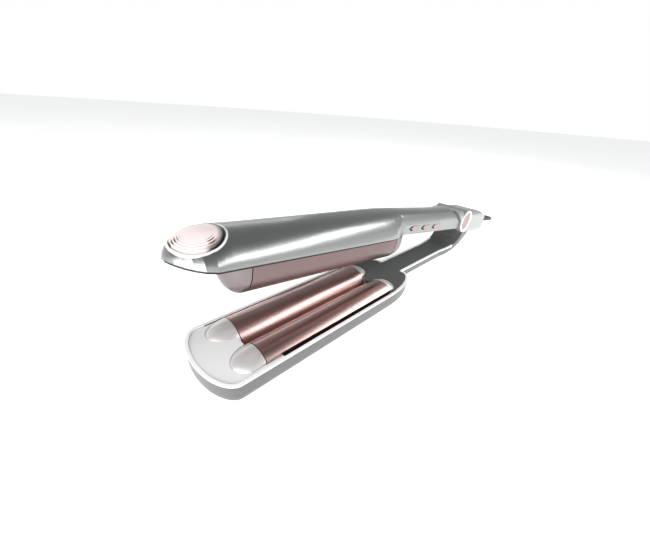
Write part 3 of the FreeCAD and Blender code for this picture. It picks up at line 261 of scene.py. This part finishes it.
def within(tree: bpy.types.NodeTree, *spans: Span) -> bpy.types.NodeSocket:
    """Add a test that gives one where every value lies between its bounds, with narrow soft edges.

    Args:
        tree: Node tree that takes the nodes.
        *spans: Each value with its low and its high bound.

    Returns:
        The product of the tests.
    """
    share = None
    for value, low, high in spans:
        middle, half = (low + high) / 2, (high - low) / 2
        soft = min(EDGE_SOFT, half * EDGE_SHARE)
        away = add_node(tree, "ShaderNodeMath", {"operation": "SUBTRACT"}, n0=value, n1=middle)
        size = add_node(tree, "ShaderNodeMath", {"operation": "ABSOLUTE"}, n0=away.outputs[0])
        test = add_node(tree, "ShaderNodeMapRange", Value=size.outputs[0], From_Min=half - soft,
                        From_Max=half + soft, To_Min=1.0, To_Max=0.0).outputs["Result"]
        share = test if share is None else add_node(tree, "ShaderNodeMath", {"operation": "MULTIPLY"},
                                                    n0=share, n1=test).outputs[0]
    return share


@dataclass(frozen=True)
class CoverFinish(Finish):
    """Lacquer of the long cover, with painted shade as a dark line along the jaw's lower edge, where it
    turns under.
    """

    line_z: tuple[float, float] = (-5.5, -2.8)
    line_x: tuple[float, float] = (-270.0, -113.0)
    edge_shade_colour: str = "#2c2e2e"

    def marks(self, tree: bpy.types.NodeTree) -> list[tuple[bpy.types.NodeSocket, str]]:
        """Add the painted shade along the lower edge.

        Args:
            tree: Node tree that takes the nodes.

        Returns:
            The line's share and colour.
        """
        place = arm_place(tree, OPEN_DEG).outputs
        # Painted shade: a dark band where the cover's lower edge turns under.
        line = within(tree, (place["Z"], *self.line_z), (place["X"], *self.line_x))
        return [(line, self.edge_shade_colour)]


@dataclass(frozen=True)
class TrayFinish(Finish):
    """Satin tray: a bright rim line, and painted shade inside its wall."""

    rim_z: tuple[float, float] = (-25.8, -20.0)
    rim_x: tuple[float, float] = (-270.0, -8.0)
    rim_colour: str = "#ffffff"
    painted_shade_x: tuple[float, float] = (-243.0, -128.0)
    painted_shade_y: tuple[float, float] = (-24.3, 24.3)
    painted_shade_z: tuple[float, float] = (-36.2, -25.3)
    painted_shade_colour: str = "#131313"

    def marks(self, tree: bpy.types.NodeTree) -> list[tuple[bpy.types.NodeSocket, str]]:
        """Add the rim and the painted shade inside the wall.

        Args:
            tree: Node tree that takes the nodes.

        Returns:
            Their shares and colours.
        """
        place = arm_place(tree, 0.0).outputs
        rim = within(tree, (place["Z"], *self.rim_z), (place["X"], *self.rim_x))
        # Painted shade: the inside of the wall, down to the floor between it and the barrels, is darkened to
        # near black.
        inside = within(tree, (place["Z"], *self.painted_shade_z), (place["X"], *self.painted_shade_x),
                        (place["Y"], *self.painted_shade_y))
        return [(rim, self.rim_colour), (inside, self.painted_shade_colour)]


@dataclass(frozen=True)
class MarkedFinish(Finish):
    """Satin ABS of the handle's near side with a printed arrow before each key."""

    tips: tuple[float, ...] = (-104.0, -86.2, -68.2)
    heights: tuple[float, ...] = (0.1, -0.3, -0.7)
    near_y: tuple[float, float] = (-20.0, -10.0)
    mark_h: float = 1.75
    lean: float = 2.0
    stroke: float = 3.4
    mark_colour: str = "#141414"

    def marks(self, tree: bpy.types.NodeTree) -> list[tuple[bpy.types.NodeSocket, str]]:
        """Add the arrows.

        Args:
            tree: Node tree that takes the nodes.

        Returns:
            Their shares and colour.
        """
        place = arm_place(tree, OPEN_DEG).outputs
        found = []
        for tip, height in zip(self.tips, self.heights):
            off = add_node(tree, "ShaderNodeMath", {"operation": "SUBTRACT"}, n0=place["Z"], n1=height)
            rise = add_node(tree, "ShaderNodeMath", {"operation": "ABSOLUTE"}, n0=off.outputs[0]).outputs[0]
            slant = add_node(tree, "ShaderNodeMath", {"operation": "MULTIPLY_ADD"}, n0=rise, n1=-self.lean,
                             n2=place["X"])
            arrow = within(tree, (slant.outputs[0], tip, tip + self.stroke),
                           (rise, -self.mark_h, self.mark_h), (place["Y"], *self.near_y))
            found.append((arrow, self.mark_colour))
        return found


@dataclass(frozen=True)
class OvalFinish(Finish):
    """Pearl panel with concentric grooves and short slots drawn in painted shade, and a painted crescent of
    shadow at its gap.

    Places on the oval are shares of its half length and half width, and reach is one at its edge. The
    grooves are counted outwards from groove_from, and ring_half is half the way from one to the next.
    """

    middle_x: float = -250.2
    half_l: float = 9.8
    half_w: float = 13.3
    groove_from: float = 0.70
    groove_step: float = 0.10
    groove_half: float = 0.09
    ring_half: float = 0.5
    groove_reach: tuple[float, float] = (0.67, 2.0)
    groove_x: tuple[float, float] = (-2.0, 0.35)
    groove_y: tuple[float, float] = (-2.0, 0.3)
    groove_shade_colour: str = "#c9b4b1"
    slot_half: float = 0.26
    far_slot_x: tuple[float, float] = (-2.0, -0.55)
    far_slot_y: tuple[float, float] = (0.02, 0.34)
    near_slot_reach: tuple[float, float] = (0.62, 0.88)
    near_slot_x: tuple[float, float] = (0.02, 0.32)
    near_slot_y: tuple[float, float] = (-1.0, -0.4)
    crescent_shift: tuple[float, float] = (-1.15, 0.8)
    crescent_shrink: float = 0.95
    crescent_reach: tuple[float, float] = (1.0, 3.0)
    crescent_x: tuple[float, float] = (-0.15, 3.0)
    slot_and_gap_shade_colour: str = "#161212"

    def _oval(self, tree: bpy.types.NodeTree, shift: tuple[float, float],
              share: float) -> bpy.types.NodeSocket:
        """Add the place inside an oval, its edge at length one.

        Args:
            tree: Node tree that takes the nodes.
            shift: Millimetres that the oval lies off the panel's middle.
            share: Its size against the panel's.

        Returns:
            The place.
        """
        row = add_node(tree, "ShaderNodeTexCoord").outputs["Object"]
        centre = opened() @ Vector((self.middle_x + shift[0], shift[1], 0.0))
        scale = (self.half_l * share * MM, self.half_w * share * MM, 1.0)
        oval = add_node(tree, "ShaderNodeMapping", {"vector_type": "TEXTURE"}, Vector=row, Location=centre,
                        Rotation=(0.0, math.radians(OPEN_DEG), 0.0), Scale=scale)
        return oval.outputs["Vector"]

    def marks(self, tree: bpy.types.NodeTree) -> list[tuple[bpy.types.NodeSocket, str]]:
        """Add the painted shade of the grooves and of the slots at their ends, and the painted shadow of the
        crescent.

        Args:
            tree: Node tree that takes the nodes.

        Returns:
            Their shares and colours.
        """
        inside = self._oval(tree, (0.0, 0.0), 1.0)
        place = add_node(tree, "ShaderNodeSeparateXYZ", Vector=inside).outputs
        reach = add_node(tree, "ShaderNodeVectorMath", {"operation": "LENGTH"}, n0=inside).outputs["Value"]
        scaled = add_node(tree, "ShaderNodeMath", {"operation": "MULTIPLY_ADD"}, n0=reach,
                          n1=1 / self.groove_step, n2=-self.groove_from / self.groove_step)
        ring = add_node(tree, "ShaderNodeMath", {"operation": "WRAP"}, n0=scaled.outputs[0],
                        n1=self.ring_half, n2=-self.ring_half).outputs[0]
        outer = (reach, *self.groove_reach)
        wide = (ring, -self.slot_half, self.slot_half)
        # Painted shade: the grooves are drawn as darker lines and the slots as black strokes on the panel.
        grooves = within(tree, (ring, -self.groove_half, self.groove_half), (place["X"], *self.groove_x),
                         (place["Y"], *self.groove_y), outer)
        far_slots = within(tree, wide, outer, (place["X"], *self.far_slot_x), (place["Y"], *self.far_slot_y))
        near_slots = within(tree, wide, (reach, *self.near_slot_reach), (place["X"], *self.near_slot_x),
                            (place["Y"], *self.near_slot_y))
        # Painted shadow: a black crescent at the panel's rear edge, where the gap to the trim falls in
        # shade.
        off = self._oval(tree, self.crescent_shift, self.crescent_shrink)
        past = add_node(tree, "ShaderNodeVectorMath", {"operation": "LENGTH"}, n0=off).outputs["Value"]
        crescent = within(tree, (past, *self.crescent_reach), (place["X"], *self.crescent_x))
        return [(grooves, self.groove_shade_colour), (far_slots, self.slot_and_gap_shade_colour), (near_slots, self.slot_and_gap_shade_colour),
                (crescent, self.slot_and_gap_shade_colour)]


def opened() -> Matrix:
    """Work out how a point on the upper arm goes from its shut place to its open one.

    Returns:
        The matrix that takes millimetres from the hinge, jaws shut, to metres in the frame.
    """
    turn = Matrix.Rotation(math.radians(OPEN_DEG), 4, "Y")
    return Matrix.Scale(MM, 4) @ Matrix.Translation(PIVOT) @ turn


# Moulded ABS with a pearl lacquer: a soft grey that takes broad highlights.
PEARL_GREY = CoverFinish("pearl_lacquer_on_abs", "#a2a4a3", "#999b9a", roughness=0.29, metallic=0.85,
                         coat=0.3, grain_mm=0.5, bump_mm=0.0015)
# Injection-moulded ABS, satin: the tray's even grey side with soft light and no hard reflection.
TRAY_GREY = TrayFinish("satin_abs_tray", "#686968", "#616261", roughness=0.38, coat=0.2, grain_mm=0.6,
                       bump_mm=0.004)
# Injection-moulded ABS, gloss white: trim that reads as a bright line.
GLOSS_WHITE = Finish("gloss_white_abs", "#f4f4f4", "#ececec", roughness=0.16, coat=0.5, grain_mm=0.8,
                     bump_mm=0.002)
# Pearl blush lacquer over ABS: the pale pink oval at the nose, soft to the light.
BLUSH_PEARL = OvalFinish("blush_pearl_lacquer", "#fdf0ee", "#fbe9e6", roughness=0.34, coat=0.4,
                         grain_mm=0.6, bump_mm=0.003)
# Glass-filled nylon, moulded: the matte dark saddle behind the barrels.
SADDLE_GREY = Finish("glass_filled_nylon", "#5c5e5c", "#545654", roughness=0.5, grain_mm=0.5,
                     bump_mm=0.012)
# The same nylon inside, left as moulded: dull, with a slight grain.
INNER_GREY = Finish("moulded_nylon_inner", "#6b6c6b", "#616261", roughness=0.55, grain_mm=0.5,
                    bump_mm=0.012)
# Drawn aluminium tube under a thin rose coating: long highlights that run along the barrel.
ROSE_BARREL = Finish("rose_coated_drawn_aluminium", "#dab8b3", "#cfaba6", roughness=0.31, metallic=1.0,
                     coat=0.1, grain_mm=0.5, bump_mm=0.0012, pattern=Pattern.DRAWN)
# The same coating on the barrel above, with painted shade: its colour is darkened to a grey rose because it
# faces the dark gap below it.
PAINTED_SHADE_BARREL = Finish("rose_barrel_painted_shade", "#857372", "#7d6968", roughness=0.34, metallic=0.9,
                      grain_mm=0.5, bump_mm=0.0012, pattern=Pattern.DRAWN)
# The upper barrel's caps, the same plating with painted shade: darkened to a dull rose grey next to the
# barrel.
PAINTED_SHADE_CAP = Finish("plated_cap_painted_shade", "#8c8282", "#857b7b", roughness=0.3, metallic=0.9, grain_mm=0.8,
                   bump_mm=0.001)
# Vacuum-plated end caps: pale silver with soft edges to its highlights.
SILVER_CAP = Finish("vacuum_plated_cap", "#f3efee", "#e8e4e3", roughness=0.33, metallic=0.6,
                    grain_mm=0.8, bump_mm=0.0008)
# Heat-resistant PPS, moulded: near black and dull.
HEAT_FRAME = Finish("pps_heat_frame", "#1c1c1c", "#242424", roughness=0.6, grain_mm=0.6, bump_mm=0.01)
# Fired steatite heater bar: off-white and chalky with a fine speck.
HEATER = Finish("fired_steatite", "#e6dfd0", "#d6cdbb", roughness=0.7, grain_mm=1.2, bump_mm=0.01,
                pattern=Pattern.SPECKLED)
# Cast silicone pad: brick red, rubbery and dull.
PAD = Finish("cast_silicone_pad", "#8f4438", "#833b30", roughness=0.55, grain_mm=0.7, bump_mm=0.008)
# Drawn and tinned steel can of the thermal fuse: bright, with lines along it.
FUSE = Finish("tinned_steel_can", "#c2c2c2", "#b4b4b4", roughness=0.32, metallic=1.0, grain_mm=0.4,
              bump_mm=0.001, pattern=Pattern.DRAWN)
# Pressed steel, zinc plated: blue-grey and half bright.
STEEL = Finish("zinc_plated_steel", "#a9abad", "#9b9ea2", roughness=0.34, metallic=1.0, grain_mm=0.5,
               bump_mm=0.002)
# Drawn spring wire, oiled: dark grey with a narrow highlight along it.
SPRING = Finish("drawn_spring_wire", "#7e8083", "#727478", roughness=0.28, metallic=1.0, grain_mm=0.4,
                bump_mm=0.001, pattern=Pattern.DRAWN)
# Extruded silicone sleeve of a lead: red and waxy.
LEAD = Finish("silicone_lead", "#a8281f", "#9a211a", roughness=0.5, grain_mm=0.6, bump_mm=0.004)
# Lacquered glass laminate: green, with the etched tracks showing lighter under the lacquer.
BOARD = Finish("lacquered_laminate", "#1d5a38", "#2b7a4c", roughness=0.3, coat=0.4, grain_mm=1.6,
               bump_mm=0.02, pattern=Pattern.TRACKED)
# Moulded nylon switch case: black and dull.
SWITCH = Finish("moulded_switch_case", "#191919", "#222222", roughness=0.5, grain_mm=0.5, bump_mm=0.006)
# Injection-moulded ABS, satin: the handle's lower half, mid grey with printed arrows.
HANDLE_GREY = MarkedFinish("satin_abs_handle", "#9c9d9c", "#929392", roughness=0.34, metallic=0.1,
                           coat=0.2, grain_mm=0.6, bump_mm=0.004)
# Lacquered ABS key: dusty rose, a little glossier than the handle, with the arrow's end on it.
KEY_ROSE = MarkedFinish("rose_lacquered_key", "#a8918f", "#9f8785", roughness=0.32, coat=0.3,
                        grain_mm=0.6, bump_mm=0.003)
# Pearl silver lacquer over ABS: the tail block, lighter than the handle.
TAIL_SILVER = Finish("silver_pearl_lacquer", "#b0b2b2", "#a8aaaa", roughness=0.34, metallic=0.5,
                     coat=0.4, grain_mm=0.5, bump_mm=0.0006)
# Satin rose lacquer over ABS: the disc in the hinge ring, pinker than the keys.
DISC_ROSE = Finish("satin_rose_disc", "#a08380", "#987b78", roughness=0.3, metallic=0.15, coat=0.3,
                   grain_mm=0.5, bump_mm=0.002)
# Moulded PVC jacket: black, slightly soft to the light.
CORD_BLACK = Finish("moulded_pvc_black", "#0b0b0b", "#111111", roughness=0.45, grain_mm=0.7,
                    bump_mm=0.006)
# Moulded nylon strap: off-white and dull.
TIE_WHITE = Finish("nylon_strap", "#d9d9d6", "#cfcfcb", roughness=0.5, grain_mm=0.8, bump_mm=0.01)
# Turned brass, nickel plated: warm bright pins.
PIN_NICKEL = Finish("nickel_plated_brass", "#c9c7c0", "#bdbbb3", roughness=0.22, metallic=1.0,
                    grain_mm=0.5, bump_mm=0.001)
SLOT_FINISH = {
    "upper_shell": PEARL_GREY, "nose_panel": BLUSH_PEARL, "white_trim": GLOSS_WHITE,
    "inner_grey": INNER_GREY, "tray": TRAY_GREY, "front_deck": GLOSS_WHITE, "saddle": SADDLE_GREY,
    "rose_barrel": ROSE_BARREL, "silver_cap": SILVER_CAP, "heat_frame": HEAT_FRAME, "heater": HEATER,
    "pad": PAD, "fuse": FUSE, "steel": STEEL, "spring_steel": SPRING, "lead": LEAD, "board": BOARD,
    "switch": SWITCH, "handle_lower": HANDLE_GREY, "button": KEY_ROSE, "tail_silver": TAIL_SILVER,
    "disc_rose": DISC_ROSE, "cord_black": CORD_BLACK, "tie": TIE_WHITE, "plug_pin": PIN_NICKEL,
}
# The upper barrel and its caps share their slots with the lower ones, but take darker copies of their
# finishes: painted shade.
NODE_FINISH = {"upper_barrel": PAINTED_SHADE_BARREL, "upper_front_cap": PAINTED_SHADE_CAP, "upper_rear_cap": PAINTED_SHADE_CAP}


def lower_point(x: float, y: float, z: float) -> Vector:
    """Place a point of the lower arm in the frame.

    Args:
        x: Millimetres behind the hinge.
        y: Millimetres to the far side of it.
        z: Millimetres above it.

    Returns:
        The point in metres.
    """
    return (PIVOT + Vector((x, y, z))) * MM


def dress(piece: bpy.types.Object, finish: Finish) -> None:
    """Give a piece one finish on every face.

    Args:
        piece: Mesh or curve object.
        finish: What it is made of.
    """
    piece.data.materials.clear()
    piece.data.materials.append(finish.material())


@dataclass(frozen=True)
class Softbox:
    """One rectangular softbox that faces the middle of the tool, sizes in millimetres."""

    name: str
    way: tuple[float, float, float]
    distance: float
    size: tuple[float, float]
    watts: float
    mirrored: bool = True
    aim: tuple[float, float, float] = (-160.0, 0.0, -10.0)

    def build(self) -> None:
        """Hang the light in its direction from the tool."""
        data = bpy.data.lights.new(self.name, "AREA")
        data.shape = "RECTANGLE"
        data.size = self.size[0] * MM
        data.size_y = self.size[1] * MM
        data.energy = self.watts
        light = bpy.data.objects.new(self.name, data)
        heading = Vector(self.way).normalized()
        light.rotation_euler = heading.to_track_quat("Z", "Y").to_euler()
        light.location = lower_point(*self.aim) + heading * self.distance * MM
        light.visible_glossy = self.mirrored
        bpy.context.scene.collection.objects.link(light)


@dataclass
class Studio:
    """Camera, pale floor and soft lights, with their places in millimetres."""

    camera_at: tuple[float, float, float] = (-287.18, -111.72, 86.56)
    azimuth: float = -45.79
    elevation: float = 30.05
    roll: float = 4.28
    lens: float = 16.12
    sensor: float = 36.0
    clip: tuple[float, float] = (5.0, 50000.0)
    floor_radius: float = 6000.0
    floor_sides: int = 96
    floor_colour: str = "#f7f7f7"
    floor_shade: str = "#f4f4f4"
    floor_roughness: float = 0.9
    floor_cloud: float = 400.0
    floor_glow: float = 0.66
    sky: str = "#ffffff"
    sky_stops: tuple[tuple[float, str], ...] = (
        (0.22, "#ffffff"), (0.34, "#b4b5b6"), (0.50, "#8d8f91"), (0.72, "#6c6e70"), (0.92, "#3e4042"),
    )
    far_way: tuple[float, float, float] = (0.717, 0.697, 0.0)
    far_span: tuple[float, float] = (0.1, 0.8)
    far_tone: str = "#808284"
    far_dim: float = 0.8
    softboxes: tuple[Softbox, ...] = (
        Softbox("key_softbox", (0.62, -0.52, 0.60), distance=900.0, size=(900.0, 230.0), watts=3.4),
        Softbox("rear_softbox", (0.30, 0.92, 0.24), distance=1100.0, size=(900.0, 160.0), watts=0.5),
        Softbox("front_softbox", (-0.88, -0.24, 0.36), distance=1000.0, size=(1300.0, 620.0), watts=9.5),
        Softbox("fill_softbox", (-0.45, -0.45, 0.78), distance=1400.0, size=(1500.0, 1500.0), watts=7.0,
                mirrored=False),
    )

    def build(self) -> None:
        """Set up everything that isn't part of the object."""
        self._camera()
        self._world()
        self._floor()
        for softbox in self.softboxes:
            softbox.build()

    def _axes(self) -> tuple[Vector, Vector, Vector]:
        """Work out how the camera is turned.

        Returns:
            Its right, up and back directions.
        """
        turn, lift, roll = (math.radians(v) for v in (self.azimuth, self.elevation, self.roll))
        back = Vector((math.sin(turn) * math.cos(lift), -math.cos(turn) * math.cos(lift), math.sin(lift)))
        level = Vector((math.cos(turn), math.sin(turn), 0.0))
        over = back.cross(level)
        right = level * math.cos(roll) + over * math.sin(roll)
        up = over * math.cos(roll) - level * math.sin(roll)
        return right, up, back

    def _camera(self) -> None:
        """Make the scene's camera where the photograph was taken from."""
        data = bpy.data.cameras.new("photo_camera")
        data.lens = self.lens
        data.sensor_width = self.sensor
        data.sensor_fit = "HORIZONTAL"
        data.clip_start = self.clip[0] * MM
        data.clip_end = self.clip[1] * MM
        camera = bpy.data.objects.new("photo_camera", data)
        right, up, back = self._axes()
        turn = Matrix((right, up, back)).transposed().to_4x4()
        camera.matrix_world = Matrix.Translation(lower_point(*self.camera_at)) @ turn
        bpy.context.scene.collection.objects.link(camera)
        bpy.context.scene.camera = camera

    def _world(self) -> None:
        """Light the scene from a white horizon that darkens upwards and to the far side, on pure white."""
        world = bpy.data.worlds.new("studio_world")
        world.use_nodes = True
        tree = world.node_tree
        tree.nodes.clear()
        way = add_node(tree, "ShaderNodeTexCoord").outputs["Generated"]
        height = add_node(tree, "ShaderNodeSeparateXYZ", Vector=way).outputs["Z"]
        ramp = add_node(tree, "ShaderNodeValToRGB", Fac=height)
        stops = ramp.color_ramp.elements
        while len(stops) < len(self.sky_stops):
            stops.new(1.0)
        for stop, (place, colour) in zip(stops, self.sky_stops):
            stop.position = place
            stop.color = linear(colour)
        ahead = add_node(tree, "ShaderNodeVectorMath", {"operation": "DOT_PRODUCT"}, n0=way, n1=self.far_way)
        dimmed = add_node(tree, "ShaderNodeMapRange", {"interpolation_type": "SMOOTHSTEP"},
                          Value=ahead.outputs["Value"], From_Min=self.far_span[0],
                          From_Max=self.far_span[1], To_Max=self.far_dim)
        lit = add_node(tree, "ShaderNodeMix", {"data_type": "RGBA"}, n0=dimmed.outputs["Result"],
                       n6=ramp.outputs["Color"], n7=linear(self.far_tone))
        seen = add_node(tree, "ShaderNodeLightPath").outputs["Is Camera Ray"]
        shown = add_node(tree, "ShaderNodeMix", {"data_type": "RGBA"}, n0=seen, n6=lit.outputs[2],
                         n7=linear(self.sky))
        light = add_node(tree, "ShaderNodeBackground", Color=shown.outputs[2], Strength=1.0)
        add_node(tree, "ShaderNodeOutputWorld", Surface=light.outputs["Background"])
        bpy.context.scene.world = world
        bpy.context.scene.view_settings.view_transform = "Standard"

    def _floor(self) -> None:
        """Lay the pale floor under the tray, with a glow that keeps it near white far out."""
        bm = bmesh.new()
        bmesh.ops.create_circle(bm, cap_ends=True, segments=self.floor_sides, radius=self.floor_radius * MM)
        floor = new_object("studio_floor", bm)
        dress(floor, Finish("pale_floor", self.floor_colour, self.floor_shade, self.floor_roughness,
                            bump_mm=0.0, cloud_mm=self.floor_cloud))
        shader = floor.data.materials[0].node_tree.nodes["Principled BSDF"]
        shader.inputs["Emission Color"].default_value = linear(self.sky)
        shader.inputs["Emission Strength"].default_value = self.floor_glow


def new_object(name: str, bm: bmesh.types.BMesh) -> bpy.types.Object:
    """Turn a bmesh into an object at the origin.

    Args:
        name: Name of the piece.
        bm: Finished bmesh, which is freed.

    Returns:
        The linked object.
    """
    mesh = bpy.data.meshes.new(name)
    bm.to_mesh(mesh)
    bm.free()
    made = bpy.data.objects.new(name, mesh)
    bpy.context.scene.collection.objects.link(made)
    return made


@dataclass
class MainsCord:
    """The cord from its relief through the coil to the plug, in millimetres from the hinge."""

    diameter: float = 5.0
    round_steps: int = 5
    run_steps: int = 6
    spline_order: int = 3
    relief_end: tuple[float, float, float] = (102.1, 0.0, -20.88)
    route: tuple[tuple[float, float, float], ...] = (
        (120.8, 0.0, -24.4), (140.6, 2.8, -29.3), (152.7, 12.2, -32.5), (158.7, 27.0, -34.4),
        (156.5, 42.8, -35.0), (146.6, 55.4, -35.0), (131.8, 61.4, -35.0), (107.8, 59.7, -35.0),
        (71.0, 60.5, -35.0), (20.0, 66.0, -34.8), (-41.0, 82.45, -33.8),
    )
    coil_middle: tuple[float, float] = (-66.0, 56.0)
    coil_radius: float = 18.2
    coil_start_deg: float = 90.0
    pitch: float = 5.5
    layers: int = 4
    layer_turns: int = 3
    all_turns: float = 12.125
    low_z: float = -33.8
    layer_rise: float = 5.6
    climb_turns: float = 0.5
    steps_a_turn: int = 16
    tail: tuple[tuple[float, float, float], ...] = (
        (-97.0, 63.5, -19.5), (-110.0, 57.8, -28.5), (-122.8, 57.6, -30.5),
    )
    length: float = 1.745

    def build(self, nodes: dict[str, bpy.types.Object]) -> None:
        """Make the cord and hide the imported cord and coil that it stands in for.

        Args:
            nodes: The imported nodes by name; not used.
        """
        curve = bpy.data.curves.new("mains_cord", "CURVE")
        curve.dimensions = "3D"
        curve.bevel_depth = self.diameter / 2 * MM
        curve.bevel_resolution = self.round_steps
        curve.use_fill_caps = True
        curve.resolution_u = self.run_steps
        places = [self.relief_end, *self.route, *self._turns(), *self.tail]
        line = curve.splines.new("NURBS")
        line.points.add(len(places) - 1)
        for point, place in zip(line.points, places):
            point.co = (*lower_point(*place), 1.0)
        line.order_u = self.spline_order
        line.use_endpoint_u = True
        cord = bpy.data.objects.new("mains_cord", curve)
        bpy.context.scene.collection.objects.link(cord)
        cord.data.materials.append(CORD_BLACK.material())
        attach(cord, Body.LOWER.value)
        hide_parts("cord", "cord_coil")
        LOG.info("built mains_cord")

    def _turns(self) -> list[tuple[float, float, float]]:
        """Wind the coil: in through one layer, up to the next and out through it.

        Returns:
            The points of its centre line, in millimetres from the hinge.
        """
        outer = self.coil_radius + self.pitch * self.layer_turns / 2
        in_and_out = 2 * self.layer_turns
        places = []
        for step in range(int(self.all_turns * self.steps_a_turn) + 1):
            turn = step / self.steps_a_turn
            phase = turn % in_and_out
            last_run = max(turn - self.layers * self.layer_turns, 0.0)
            radius = outer - self.pitch * (min(phase, in_and_out - phase) - 2 * last_run)
            angle = math.radians(self.coil_start_deg + 360 * turn)
            places.append((self.coil_middle[0] + radius * math.cos(angle),
                           self.coil_middle[1] + radius * math.sin(angle), self._height(turn)))
        return places

    def _height(self, turn: float) -> float:
        """Find how high the coil lies, with an eased climb between two layers.

        Args:
            turn: Turns wound so far.

        Returns:
            Millimetres from the hinge.
        """
        height = self.low_z
        for layer in range(1, self.layers):
            past = turn - layer * self.layer_turns + self.climb_turns / 2
            share = min(max(past / self.climb_turns, 0.0), 1.0)
            height += self.layer_rise * share * share * (3 - 2 * share)
        return height


@dataclass
class Waver:
    """The tool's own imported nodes, which keep their shapes and take their finishes."""

    nodes: dict[str, bpy.types.Object]
    slots: dict[str, str]

    def dress(self) -> None:
        """Give every node its own finish, or else its slot's."""
        for name, node in self.nodes.items():
            dress(node, NODE_FINISH.get(name, SLOT_FINISH[self.slots[name]]))
            LOG.info("dressed %s", name)


def main() -> None:
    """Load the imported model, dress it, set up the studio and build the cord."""
    logging.basicConfig(level=logging.INFO)
    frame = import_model()
    nodes = frame["nodes"]
    slots = {row["node"]: row["material_slot"] for row in frame["record"]["subparts"]}
    Waver(nodes, slots).dress()
    Studio().build()
    MainsCord().build(nodes)


if __name__ == "__main__":
    main()
